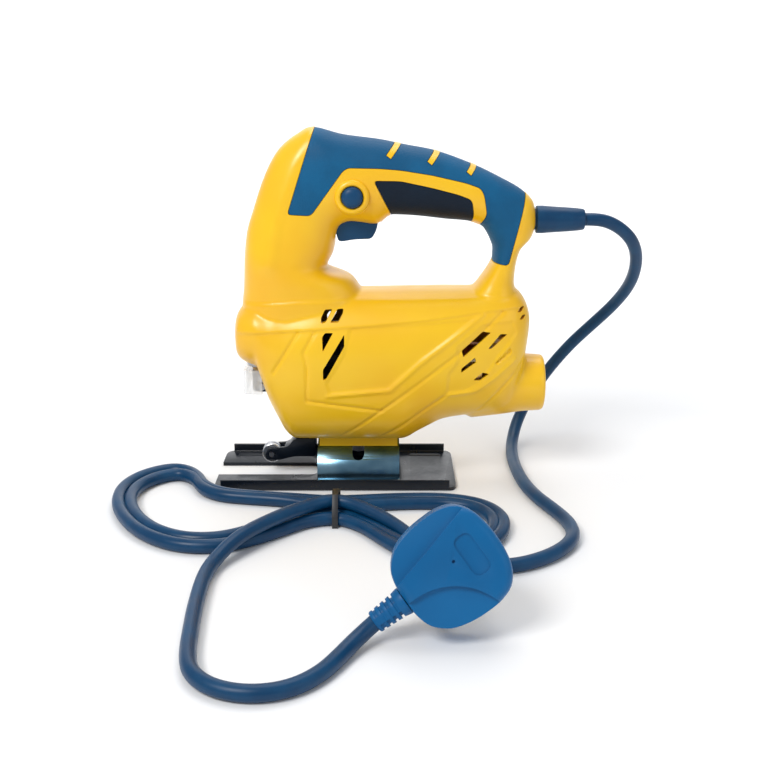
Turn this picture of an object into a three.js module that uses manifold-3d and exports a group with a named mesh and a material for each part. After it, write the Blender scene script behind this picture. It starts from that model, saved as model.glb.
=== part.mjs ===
// Jigsaw power tool with its mains lead and plug, as an assembly of separate pieces.
// Millimetres. +Z is up, -X is the blade end, +X the cord end, and Y runs across the tool.
// The origin is on the underside of the sole, at the middle of its length and width.
import * as THREE from 'three';
import { mergeVertices } from 'three/addons/utils/BufferGeometryUtils.js';
import Module from 'manifold-3d';

const wasm = await Module();
wasm.setup();

// ---------------------------------------------------------------- driving dimensions
const GAP = 0.3; // clearance between pieces that touch
const WALL = 2.4; // housing wall over the body
const HANDLE_WALL = 4.6; // housing wall under the soft grip
const GRIP_THICKNESS = 2.0; // soft grip cover and palm pad
const BODY_HALF_WIDTH = 31.5; // motor housing, at its widest
const HANDLE_HALF_WIDTH = 17; // top handle, at its widest
const SPLIT = 0.15; // each shell stops this far from the middle plane

const SOLE_LENGTH = 134;
const SOLE_HALF_WIDTH = 30.5;
const SOLE_THICKNESS = 2;
const SOLE_FLANGE_HEIGHT = 6.5;
const SOLE_SLOT_HALF_WIDTH = 9.5;
const SOLE_SLOT_END = -11;
const TILT_RADIUS = 19.7; // outside of the half-round tilt bracket
const TILT_BRACKET_SHEET = 1.5;
const TILT_BRACKET_LENGTH = 45.9;
const TILT_BRACKET_FRONT = -10.3;
const BASE_BOLT_X = 12.6;
const BASE_BOLT_RADIUS = 3;

const ROD_X = -41; // plunger axis
const ROD_RADIUS = 3.5;
const ROD_BOTTOM = 56;
const ROD_TOP = 123.5;
const ROD_RUNNING_GAP = 0.25;
const STROKE = 16;
const BUSHING_WALL = 1.9;
const BUSHING_RADIUS = ROD_RADIUS + ROD_RUNNING_GAP + BUSHING_WALL;
const CLAMP_RADIUS = 6;
const GUARD_TOP = 64.5; // clear dust guard, under the nose

const GEAR_MODULE = 0.7;
const GEAR_TEETH = 48;
const PINION_TEETH = 8;
const GEAR_AXIS_Z = 86.5;
const GEAR_FACE = [-30, -24];
const AXLE_RADIUS = 3;
const AXLE_RUNNING_GAP = 0.15;

const MOTOR_STATOR_RADIUS = 23;
const MOTOR_SHAFT_RADIUS = 3;
const STACK = [16, 62]; // stator and armature laminations
const ARMATURE_RADIUS = 13.2;
const COMMUTATOR_RADIUS = 10;
const BRUSH_X = 75.5;
const BEARING_RADIUS = 8;
const FAN_BLADES = 7;
const REAR_BEARING = [86, 92];
const FRONT_BEARING = [-16, -10];

const PORT_RADIUS = 15.8;
const PORT_BORE = 13;
const PORT_END = 116.3;
const PORT_Z = 54;

const BUTTON_RADIUS = 5.6;
const BUTTON = [10.4, 159.5]; // lock button axis, X and Z
const BUTTON_TRAVEL = 3;
const TRIGGER_TRAVEL = 5;
const TRIGGER_HALF_WIDTH = 6.2;

const ROLLER = [-37, 12.5]; // guide roller axis, X and Z
const ROLLER_RADIUS = 5.5;
const ROLLER_HALF_WIDTH = 3.2;

const CORD_RADIUS = 3.5;
const RELIEF_END = 135;
const RELIEF_Z = 145.5;
const RELIEF_NECK = 5.5; // radius where it passes the housing wall
const HANK_HEIGHT = 14;

const SCREW_HEAD_RADIUS = 3.1;
const SCREW_RADIUS = 1.6;
const BOSS_RADIUS = 4.2;

// centre distance of the gear pair puts the motor axis below the drive gear
const PINION_PITCH_RADIUS = (GEAR_MODULE * PINION_TEETH) / 2;
const GEAR_PITCH_RADIUS = (GEAR_MODULE * GEAR_TEETH) / 2;
const MOTOR_Z = GEAR_AXIS_Z - GEAR_PITCH_RADIUS - PINION_PITCH_RADIUS;

// the plunger's yoke at the top of its stroke, and the bushings clear of it above and below
const CRANK_RADIUS = STROKE / 2;
const YOKE_Z = GEAR_AXIS_Z + CRANK_RADIUS;
const UPPER_BUSHING = [YOKE_Z + 6.6, YOKE_Z + 12.6];
const LOWER_BUSHING = [62, YOKE_Z - STROKE - 6.6];

// ---------------------------------------------------------------- finishes
function finish(color, roughness, metalness = 0) {
  return new THREE.MeshStandardMaterial({ color, roughness, metalness });
}
const YELLOW = finish(0xfcc414, 0.42);
const NAVY = finish(0x0b3050, 0.62);
const BLACK = finish(0x16181c, 0.45, 0.6);
const STEEL = finish(0x9aa2ab, 0.3, 1);
const ZINC = finish(0x8fa0b4, 0.28, 1);
const ALLOY = finish(0xa9adb2, 0.5, 1);
const COPPER = finish(0xb4622d, 0.4, 1);
const BRONZE = finish(0xa87a3c, 0.4, 1);
const CARBON = finish(0x2a2a2c, 0.7);
const DARK_PLASTIC = finish(0x202226, 0.55);
const CLEAR = finish(0xd9dde0, 0.12);
const CORD = finish(0x0a3f66, 0.5);
const PLUG = finish(0x10639c, 0.45);
const BRASS = finish(0xb9973f, 0.3, 1);

// ---------------------------------------------------------------- solids
const TURN = Math.PI * 2;
const vec = (x, y, z) => new THREE.Vector3(x, y, z);

function toSolid(geometry) {
  const bare = geometry.clone();
  bare.deleteAttribute('normal');
  bare.deleteAttribute('uv');
  const merged = mergeVertices(bare, 1e-4);
  const index = merged.index.array;
  const kept = [];
  for (let i = 0; i < index.length; i += 3) {
    const [a, b, c] = [index[i], index[i + 1], index[i + 2]];
    if (a !== b && b !== c && c !== a) kept.push(a, b, c);
  }
  const vertProperties = new Float32Array(merged.attributes.position.array);
  const build = (tris) => new wasm.Manifold(
    new wasm.Mesh({ numProp: 3, vertProperties, triVerts: new Uint32Array(tris) }),
  );
  const solid = build(kept);
  if (solid.volume() >= 0) return solid;
  const turned = [];
  for (let i = 0; i < kept.length; i += 3) turned.push(kept[i], kept[i + 2], kept[i + 1]);
  return build(turned);
}

function toGeometry(solid) {
  const mesh = solid.getMesh();
  const geometry = new THREE.BufferGeometry();
  const { vertProperties, numProp } = mesh;
  const count = vertProperties.length / numProp;
  const position = new Float32Array(count * 3);
  for (let i = 0; i < count; i += 1) {
    for (let k = 0; k < 3; k += 1) position[i * 3 + k] = vertProperties[i * numProp + k];
  }
  geometry.setAttribute('position', new THREE.BufferAttribute(position, 3));
  geometry.setIndex(new THREE.BufferAttribute(new Uint32Array(mesh.triVerts), 1));
  geometry.computeVertexNormals();
  return geometry;
}

const joined = (solids) => solids.reduce((sum, next) => sum.add(next));

// A prism of an outline along an axis. Its points are (Y, Z) along x, (X, Z) along y, (X, Y) along z.
const PRISM_FRAME = {
  x: new THREE.Matrix4().makeBasis(vec(0, 1, 0), vec(0, 0, 1), vec(1, 0, 0)),
  y: new THREE.Matrix4().makeBasis(vec(1, 0, 0), vec(0, 0, 1), vec(0, -1, 0)),
  z: new THREE.Matrix4(),
};
function prism(points, axis, from, to) {
  const shape = new THREE.Shape(points.map(([a, b]) => new THREE.Vector2(a, b)));
  const geometry = new THREE.ExtrudeGeometry(shape, { depth: to - from, bevelEnabled: false });
  geometry.applyMatrix4(PRISM_FRAME[axis]);
  if (axis === 'x') geometry.translate(from, 0, 0);
  if (axis === 'y') geometry.translate(0, to, 0);
  if (axis === 'z') geometry.translate(0, 0, from);
  return toSolid(geometry);
}

function block([x0, x1], [y0, y1], [z0, z1]) {
  const geometry = new THREE.BoxGeometry(x1 - x0, y1 - y0, z1 - z0);
  geometry.translate((x0 + x1) / 2, (y0 + y1) / 2, (z0 + z1) / 2);
  return toSolid(geometry);
}

// A turned piece: its profile is [radius, distance along the axis], about an axis through a centre.
const LATHE_FRAME = {
  x: new THREE.Matrix4().makeBasis(vec(0, 1, 0), vec(1, 0, 0), vec(0, 0, -1)),
  y: new THREE.Matrix4(),
  z: new THREE.Matrix4().makeBasis(vec(1, 0, 0), vec(0, 0, 1), vec(0, -1, 0)),
};
function turned(profile, axis, [x, y, z], sides = 20) {
  const points = profile.map(([radius, along]) => new THREE.Vector2(radius, along));
  const geometry = new THREE.LatheGeometry(points, sides);
  geometry.applyMatrix4(LATHE_FRAME[axis]);
  geometry.translate(x, y, z);
  return toSolid(geometry);
}
function rod(axis, centre, radius, from, to, sides = 20) {
  return turned([[0, from], [radius, from], [radius, to], [0, to]], axis, centre, sides);
}
function ring(axis, centre, inner, outer, from, to, sides = 20) {
  const profile = [[inner, from], [outer, from], [outer, to], [inner, to], [inner, from]];
  return turned(profile, axis, centre, sides);
}
const onX = (radius, x0, x1, y, z, sides) => rod('x', [0, y, z], radius, x0, x1, sides);
const onY = (radius, y0, y1, x, z, sides) => rod('y', [x, 0, z], radius, y0, y1, sides);
const onZ = (radius, z0, z1, x, y, sides) => rod('z', [x, y, 0], radius, z0, z1, sides);

// Closed skin over a row of rings that all have the same number of points.
function loft(rings) {
  const sides = rings[0].length;
  const positions = rings.flat().flatMap((p) => [p.x, p.y, p.z]);
  const indices = [];
  for (let r = 0; r + 1 < rings.length; r += 1) {
    for (let k = 0; k < sides; k += 1) {
      const a = r * sides + k;
      const b = r * sides + ((k + 1) % sides);
      indices.push(a, b, b + sides, a, b + sides, a + sides);
    }
  }
  const last = (rings.length - 1) * sides;
  for (let k = 1; k + 1 < sides; k += 1) {
    indices.push(0, k + 1, k, last, last + k, last + k + 1);
  }
  const geometry = new THREE.BufferGeometry();
  geometry.setAttribute('position', new THREE.Float32BufferAttribute(positions, 3));
  geometry.setIndex(indices);
  return toSolid(geometry);
}

// Outline moved outwards by a distance, with mitred corners; negative moves it inwards.
function grown(points, distance) {
  const count = points.length;
  let area = 0;
  points.forEach(([x, z], i) => {
    const [nx, nz] = points[(i + 1) % count];
    area += x * nz - nx * z;
  });
  const side = Math.sign(area);
  return points.map((point, i) => {
    const before = points[(i + count - 1) % count];
    const after = points[(i + 1) % count];
    const normal = (a, b) => {
      const length = Math.hypot(b[0] - a[0], b[1] - a[1]);
      return [(side * (b[1] - a[1])) / length, (-side * (b[0] - a[0])) / length];
    };
    const [n1, n2] = [normal(before, point), normal(point, after)];
    const mitre = Math.max(0.5, 1 + n1[0] * n2[0] + n1[1] * n2[1]);
    return [
      point[0] + ((n1[0] + n2[0]) * distance) / mitre,
      point[1] + ((n1[1] + n2[1]) * distance) / mitre,
    ];
  });
}

const signedPower = (value, power) => Math.sign(value) * Math.abs(value) ** power;

// A tube of constant radius along points: an extruded polygon.
function tube(points, radius, sides, steps) {
  const path = new THREE.CatmullRomCurve3(points.map((p) => vec(...p)));
  return swept(path, radius, sides, steps);
}
function swept(path, radius, sides, steps) {
  const section = new THREE.Shape();
  for (let k = 0; k < sides; k += 1) {
    const angle = (k / sides) * TURN;
    const corner = [radius * Math.cos(angle), radius * Math.sin(angle)];
    if (k === 0) section.moveTo(...corner);
    else section.lineTo(...corner);
  }
  const options = { steps, bevelEnabled: false, extrudePath: path };
  return toSolid(new THREE.ExtrudeGeometry(section, options));
}

// ---------------------------------------------------------------- the scene
const jigsaw = new THREE.Group();
jigsaw.name = 'jigsaw';
function add(name, solid, material, parent = jigsaw) {
  const mesh = new THREE.Mesh(toGeometry(solid), material);
  mesh.name = name;
  parent.add(mesh);
}

// ---------------------------------------------------------------- housing form
// Motor housing: [X, top, bottom, share of the full half-width] at stations from nose to tail.
const BODY_STATIONS = [
  [-54.6, 90, 74.5, 0.3], [-53.4, 94.5, 70.8, 0.5], [-48, 100, 66.8, 0.68], [-42.4, 102, 64.9, 0.77],
  [-36.5, 103.5, 45.4, 0.84], [-27, 105.5, 26.1, 0.91], [-21.6, 106.2, 22.7, 0.94],
  [-8, 107.4, 22.7, 0.985], [12, 108, 22.7, 1], [35.6, 108.4, 22.7, 1], [46, 108.6, 27.5, 0.985],
  [60, 108.8, 34.6, 0.95], [73, 108.8, 36.7, 0.9], [86, 109.6, 37.8, 0.82], [96, 109.4, 39.5, 0.72],
  [101, 106.5, 50, 0.6], [104.4, 101.8, 68, 0.46], [106.3, 97, 82, 0.3], [107, 94, 87, 0.16],
];
const UPPER_FULLNESS = 2.5; // exponent of the section's superellipse
const LOWER_FULLNESS = 2.4; // kept low enough for the sole's flange to pass at 45 degrees
const BODY_SIDES = 16;
const HOLLOW_SIDES = 10;
function bodyRing([x, top, bottom, share], inset, sides) {
  const middle = (top + bottom) / 2;
  const halfHeight = (top - bottom) / 2 - inset;
  const halfWidth = share * BODY_HALF_WIDTH - inset;
  return Array.from({ length: sides }, (_, k) => {
    const angle = ((k + 0.5) / sides) * TURN;
    const power = 2 / (Math.sin(angle) < 0 ? LOWER_FULLNESS : UPPER_FULLNESS);
    const y = halfWidth * signedPower(Math.cos(angle), power);
    return vec(x, y, middle + halfHeight * signedPower(Math.sin(angle), power));
  });
}
function bodyForm() {
  return loft(BODY_STATIONS.map((station) => bodyRing(station, 0, BODY_SIDES)));
}
function bodyHollow(inset) {
  const inner = BODY_STATIONS.filter(([x]) => x > -53 && x < 100);
  const [first, last] = [inner[0], inner[inner.length - 1]];
  const rings = inner.map((station) => {
    let [x, ...rest] = station;
    if (station === first) x += inset - WALL + 0.4;
    if (station === last) x -= inset - WALL;
    return bodyRing([x, ...rest], inset, HOLLOW_SIDES);
  });
  return loft(rings);
}

// Front column, top handle and rear column: [outer X, Z], [inner X, Z], half-width, wall.
const LOOP_STATIONS = [
  [[-49.5, 76], [6, 82], 22, WALL], [[-51, 96], [16, 101], 23.5, WALL],
  [[-49.7, 109], [10, 114.2], 23.5, WALL], [[-48.6, 127], [-3.9, 120.5], 22.5, WALL],
  [[-47, 139.3], [-0.4, 128.5], 21.5, 3], [[-43, 152], [1.4, 136.5], 20.6, 4],
  [[-37, 168.5], [3.5, 142.8], 19.8, HANDLE_WALL],
  [[-28.2, 183.4], [6.9, 144.3], 19.2, HANDLE_WALL],
  [[-10.5, 194.6], [14, 144.3], 18.6, HANDLE_WALL],
  [[5.4, 190.8], [23, 143.2], HANDLE_HALF_WIDTH + 1.2, HANDLE_WALL],
  [[24.6, 188.3], [31, 148.2], HANDLE_HALF_WIDTH + 0.4, HANDLE_WALL],
  [[52.2, 183], [46, 147.5], HANDLE_HALF_WIDTH, HANDLE_WALL],
  [[74, 175.5], [60.5, 145.9], HANDLE_HALF_WIDTH, HANDLE_WALL],
  [[88, 169], [71.5, 145], HANDLE_HALF_WIDTH - 0.5, HANDLE_WALL],
  [[102, 161], [79.5, 142.2], HANDLE_HALF_WIDTH - 1.2, HANDLE_WALL],
  [[107.6, 154], [82.6, 138], HANDLE_HALF_WIDTH - 1.6, HANDLE_WALL],
  [[108.6, 145], [84.7, 133.6], HANDLE_HALF_WIDTH - 2, HANDLE_WALL],
  [[100.8, 130], [85.8, 124.5], HANDLE_HALF_WIDTH - 2.6, HANDLE_WALL],
  [[98.6, 121], [83.2, 119], HANDLE_HALF_WIDTH - 2.4, HANDLE_WALL],
  [[99.5, 104], [73, 104.5], HANDLE_HALF_WIDTH, HANDLE_WALL],
  [[97, 90], [70, 92], HANDLE_HALF_WIDTH, HANDLE_WALL],
];
const LOOP_SIDES = 14;
function loopRing([[ox, oz], [ix, iz], width], inset, sides) {
  const centre = vec((ox + ix) / 2, 0, (oz + iz) / 2);
  const along = vec(ox - ix, 0, oz - iz);
  const reach = along.length() / 2 - inset;
  along.normalize();
  return Array.from({ length: sides }, (_, k) => {
    const angle = ((k + 0.5) / sides) * TURN;
    const power = 2 / 2.4;
    const y = (width - inset) * signedPower(Math.cos(angle), power);
    return centre.clone()
      .addScaledVector(along, reach * signedPower(Math.sin(angle), power))
      .add(vec(0, y, 0));
  });
}
function loopForm(inset = 0) {
  return loft(LOOP_STATIONS.map((station) => loopRing(station, inset, LOOP_SIDES)));
}
function loopHollow(extra = 0) {
  const inner = LOOP_STATIONS.slice(1, 16).filter((_, i) => i % 2 === 0 || i < 5);
  return loft(inner.map((station) => loopRing(station, station[3] + extra, HOLLOW_SIDES)));
}

function portForm() {
  const profile = [
    [0, 60], [12, 60], [20, 76], [18.2, 92], [PORT_RADIUS + 0.6, 104], [PORT_RADIUS, 114.6],
    [PORT_RADIUS - 0.9, PORT_END], [0, PORT_END],
  ];
  return turned(profile, 'x', [0, 0, PORT_Z], 20);
}

const outerForm = joined([bodyForm(), loopForm(), portForm()]);
// behind the blade channel the front wall stays solid
const channelKeep = block([-70, -34 + WALL], [-18, 18], [0, 64.8 + WALL]);
function hollowForm(extra = 0) {
  return bodyHollow(WALL + extra).add(loopHollow(extra)).subtract(channelKeep);
}

// ---------------------------------------------------------------- grip outlines, in X and Z
const COVER_OUTLINE = [
  [-9.2, 194.2], [-9.2, 215], [125, 215], [125, 168], [102.1, 160.9], [93.4, 122.9], [85.6, 123.9],
  [80, 124], [80, 140], [78.8, 142.6], [78.3, 143.9], [81.4, 149.6], [79.7, 159.8], [77.7, 163.9],
  [70.1, 166.6], [52.2, 170.7], [35.6, 173.3], [24.6, 174.2], [8.1, 174.6], [5.4, 172.8],
  [-11.3, 150.1], [-23.3, 150.8],
];
const PAD_OUTLINE = [
  [21.9, 167.7], [35.6, 167.4], [52.2, 163.9], [65.9, 160.4], [72.9, 157.7], [74.2, 150.1],
  [72.8, 140], [60, 138], [31.6, 140], [30.8, 148.5], [30.1, 151.5],
];
// three raised ribs of the housing show through slots in the cover
const RIB_WIDTH = 2.8;
const RIBS = [[[37.2, 190], [29.4, 179.8]], [[57.8, 185.6], [50.8, 176.6]], [[78.6, 180.4], [71.4, 171.2]]];
function ribOutline([[x0, z0], [x1, z1]], extra = 0) {
  const half = RIB_WIDTH / 2 + extra;
  const length = Math.hypot(x1 - x0, z1 - z0);
  const [ux, uz] = [(x1 - x0) / length, (z1 - z0) / length];
  const foot = [x1 + ux * extra, z1 + uz * extra];
  return [
    [x0 - uz * half, z0 + ux * half], [foot[0] - uz * half, foot[1] + ux * half],
    [foot[0] + uz * half, foot[1] - ux * half], [x0 + uz * half, z0 - ux * half],
  ];
}
const FAR = 60; // reaches past either side of the housing
const across = (outline) => prism(outline, 'y', -FAR, FAR);
const ribs = (extra) => joined(RIBS.map((line) => across(ribOutline(line, extra))));

function gripSkin(outline) {
  return across(outline).intersect(loopForm()).subtract(loopForm(GRIP_THICKNESS));
}
function gripPocket(outline) {
  return across(grown(outline, GAP)).subtract(loopForm(GRIP_THICKNESS + GAP));
}

// ---------------------------------------------------------------- housing shells
const FRONT_VENTS = [
  [[-6.5, 93.9], [-6.5, 96.6], [-4.3, 100.9], [-0.5, 100.9], [-4, 94.4]],
  [[-1.6, 94.4], [2.2, 100.9], [5.4, 101.1], [5.1, 98.7], [2.7, 94.4]],
  [[-5.6, 79.3], [-5.9, 86.9], [-4.3, 89.2], [0, 89.2]],
  [[-5.6, 63.9], [-5.6, 69.6], [5.9, 88.5], [5.9, 82.1], [-4, 64.3]],
];
const REAR_VENTS = [
  [[68.4, 79.3], [79.8, 89.2], [84.2, 88.5], [69.4, 75.8]],
  [[82.6, 79.8], [89.4, 87.5], [93.2, 87.1], [84.6, 79.8]],
  [[68.4, 67.2], [68.4, 69.6], [75.6, 75.5], [76.4, 72.8]],
  [[75, 62.7], [79.8, 66.9], [83.6, 66.1], [78.8, 62.3]],
];
// [X, Z, Y of the head's seat] of the screws that hold the shells together
const SCREWS = [[-22, 172, 9], [58, 165.9, 8], [92, 102, 10], [68, 42, 9], [-24, 42, 12], [-14, 128, 11]];
const SCREW_END = -9;
const CHANNEL_HALF_WIDTH = 15.6;
const LOWER_BOSS_RADIUS = BUSHING_RADIUS + 2.85;
const TRIGGER_SLOT = [0.6, 25.2];

function motorRibs() {
  const seats = [[38, 40, MOTOR_STATOR_RADIUS], [87, 91, BEARING_RADIUS]];
  const plates = seats.map(([x0, x1, radius]) => block([x0, x1], [-FAR, FAR], [30, 104])
    .subtract(onX(radius + GAP, x0 - 1, x1 + 1, 0, MOTOR_Z, 20)));
  return joined(plates);
}

function housingSolid() {
  let shell = outerForm.subtract(hollowForm());
  const bosses = SCREWS.map(([x, z]) => onY(BOSS_RADIUS, -FAR, FAR, x, z, 8));
  shell = shell.add(joined([...bosses, motorRibs()]).intersect(outerForm));
  // saddle that the tilt bracket turns in
  const saddleEnd = TILT_BRACKET_FRONT + TILT_BRACKET_LENGTH;
  const saddle = block([TILT_BRACKET_FRONT + 1, saddleEnd - 1], [-10, 10], [16, 30]);
  shell = shell.add(saddle);
  // raised collar round the lock button, on the left shell only
  shell = shell.add(onY(BUTTON_RADIUS + 2.5, -20.4, -12, ...BUTTON, 16));
  const cuts = [
    onX(TILT_RADIUS + GAP, -FAR, FAR, 0, SOLE_THICKNESS, 32)
      .intersect(block([TILT_BRACKET_FRONT - 1, saddleEnd + 1], [-FAR, FAR], [0, 40])),
    onY(BUTTON_RADIUS + GAP, -FAR, 0, ...BUTTON, 16),
    block([-70, -34], [-CHANNEL_HALF_WIDTH, CHANNEL_HALF_WIDTH], [0, 64.8]),
    onZ(LOWER_BOSS_RADIUS + GAP, 50, 80, ROD_X, 0, 16),
    onZ(BUSHING_RADIUS + GAP, UPPER_BUSHING[0] - GAP, UPPER_BUSHING[1] + GAP, ROD_X, 0, 20),
    onX(PORT_BORE, 92, PORT_END + 1, 0, PORT_Z, 20),
    onX(RELIEF_NECK + GAP, 96, 112, 0, RELIEF_Z, 12),
    onZ(BASE_BOLT_RADIUS + GAP, 10, 35, BASE_BOLT_X, 0, 10),
    block(TRIGGER_SLOT, [-TRIGGER_HALF_WIDTH - GAP, TRIGGER_HALF_WIDTH + GAP], [130, 156]),
    gripPocket(COVER_OUTLINE).subtract(ribs(0)),
    gripPocket(PAD_OUTLINE),
    ...[...FRONT_VENTS, ...REAR_VENTS].map(across),
    ...SCREWS.map(([x, z, seat]) => onY(SCREW_RADIUS + GAP, SCREW_END - GAP, seat + 1, x, z, 8)),
    ...SCREWS.map(([x, z, seat]) => onY(SCREW_HEAD_RADIUS + GAP, seat, FAR, x, z, 10)),
  ];
  return shell.subtract(joined(cuts));
}

const leftSide = block([-200, 300], [-FAR, -SPLIT], [-50, 300]);
const rightSide = block([-200, 300], [SPLIT, FAR], [-50, 300]);

function addHousing() {
  const shell = housingSolid();
  add('housing_left', shell.intersect(leftSide), YELLOW);
  add('housing_right', shell.intersect(rightSide), YELLOW);
  const screwRoom = joined(SCREWS.map(([x, z, seat]) => (
    onY(SCREW_HEAD_RADIUS + 2 * GAP, seat, FAR, x, z, 10)
  )));
  const cover = gripSkin(COVER_OUTLINE).subtract(ribs(GAP)).subtract(screwRoom);
  const pad = gripSkin(PAD_OUTLINE).subtract(screwRoom);
  add('grip_cover_left', cover.intersect(leftSide), NAVY);
  add('grip_cover_right', cover.intersect(rightSide), NAVY);
  add('palm_pad_left', pad.intersect(leftSide), NAVY);
  add('palm_pad_right', pad.intersect(rightSide), NAVY);
  SCREWS.forEach(([x, z, seat], i) => {
    const shank = onY(SCREW_RADIUS, SCREW_END, seat + 1, x, z, 6);
    const head = onY(SCREW_HEAD_RADIUS, seat + GAP, seat + GAP + 2.4, x, z, 10);
    const recess = block([x - 0.5, x + 0.5], [seat + 1.9, seat + 4], [z - 2, z + 2]);
    add(`housing_screw_${i + 1}`, shank.add(head).subtract(recess), STEEL);
  });
}

// ---------------------------------------------------------------- trigger, switch and lock button
const TRIGGER_TOP = 152;
const SWITCH = { x: [3, 36], halfWidth: 6.5, z: [TRIGGER_TOP + TRIGGER_TRAVEL + 1, 174] };
const SPRING_WIRE = 0.5;

class Helix extends THREE.Curve {
  constructor(centre, radius, turns, length, axis) {
    super();
    Object.assign(this, { centre, radius, turns, length, axis });
  }

  getPoint(t) {
    const angle = t * this.turns * TURN;
    const [a, b] = [this.radius * Math.cos(angle), this.radius * Math.sin(angle)];
    const [x, y, z] = this.centre;
    const along = t * this.length;
    return this.axis === 'z' ? vec(x + a, y + b, z + along) : vec(x + a, y + along, z + b);
  }
}
function spring(centre, radius, turns, length, axis) {
  return swept(new Helix(centre, radius, turns, length, axis), SPRING_WIRE, 4, turns * 8);
}

function addControls() {
  const outline = [
    [1.1, 139.1], [2.6, 134.4], [6, 134.6], [11, 135.5], [20.5, 135.8], [23.2, 141], [24.6, 150],
    [24.6, TRIGGER_TOP], [1.2, TRIGGER_TOP],
  ];
  const halfWidth = TRIGGER_HALF_WIDTH;
  const springSeat = TRIGGER_TOP - 8;
  const trigger = prism(outline, 'y', -halfWidth, halfWidth)
    .subtract(onZ(3.4, springSeat, TRIGGER_TOP + 1, 13, 0, 16));
  add('trigger', trigger, NAVY);
  const wire = SPRING_WIRE + 0.1;
  const reach = SWITCH.z[0] - springSeat - 2 * wire - 2 * GAP;
  add('trigger_spring', spring([13, 0, springSeat + wire + GAP], 2.4, 5, reach, 'z'), STEEL);
  const tongue = block([30, 36], [-2, 2], [SWITCH.z[0] - 3, SWITCH.z[0] + 1]);
  const body = block(SWITCH.x, [-SWITCH.halfWidth, SWITCH.halfWidth], SWITCH.z);
  add('switch_body', body.add(tongue), DARK_PLASTIC);

  const stemEnd = -SWITCH.halfWidth - BUTTON_TRAVEL - 3;
  const cap = turned(
    [[0, -22.6], [BUTTON_RADIUS - 1.8, -22.2], [BUTTON_RADIUS, -20.8], [BUTTON_RADIUS, stemEnd - 1],
      [2.6, stemEnd - 1], [2.6, stemEnd], [0, stemEnd]],
    'y', [BUTTON[0], 0, BUTTON[1]], 20,
  );
  add('lock_button', cap, NAVY);
  const springStart = stemEnd + wire + GAP;
  const springReach = -SWITCH.halfWidth - wire - BUTTON_TRAVEL - GAP - springStart;
  const buttonSpring = spring([BUTTON[0], springStart, BUTTON[1]], 2.2, 1.5, springReach, 'y');
  add('lock_spring', buttonSpring, STEEL);
}

// ---------------------------------------------------------------- motor
function sector(inner, outer, from, to, x0, x1, steps = 14) {
  const arc = (radius, a0, a1) => Array.from({ length: steps + 1 }, (_, k) => {
    const angle = ((a0 + ((a1 - a0) * k) / steps) * Math.PI) / 180;
    return [radius * Math.cos(angle), MOTOR_Z + radius * Math.sin(angle)];
  });
  return prism([...arc(outer, from, to), ...arc(inner, to, from)], 'x', x0, x1);
}

// Toothed outline with narrow teeth, so that a meshing pair keeps its side clearance.
function toothed(teeth, addendum, dedendum, phase, y, z) {
  const pitchRadius = (GEAR_MODULE * teeth) / 2;
  const step = TURN / teeth;
  const half = step * 0.17;
  const foot = step * 0.27;
  const points = [];
  for (let i = 0; i < teeth; i += 1) {
    const middle = phase + i * step;
    const [tip, root] = [pitchRadius + addendum, pitchRadius - dedendum];
    for (const [angle, r] of [[-foot, root], [-half, tip], [half, tip], [foot, root]]) {
      points.push([y + r * Math.cos(middle + angle), z + r * Math.sin(middle + angle)]);
    }
  }
  return points;
}

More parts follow.
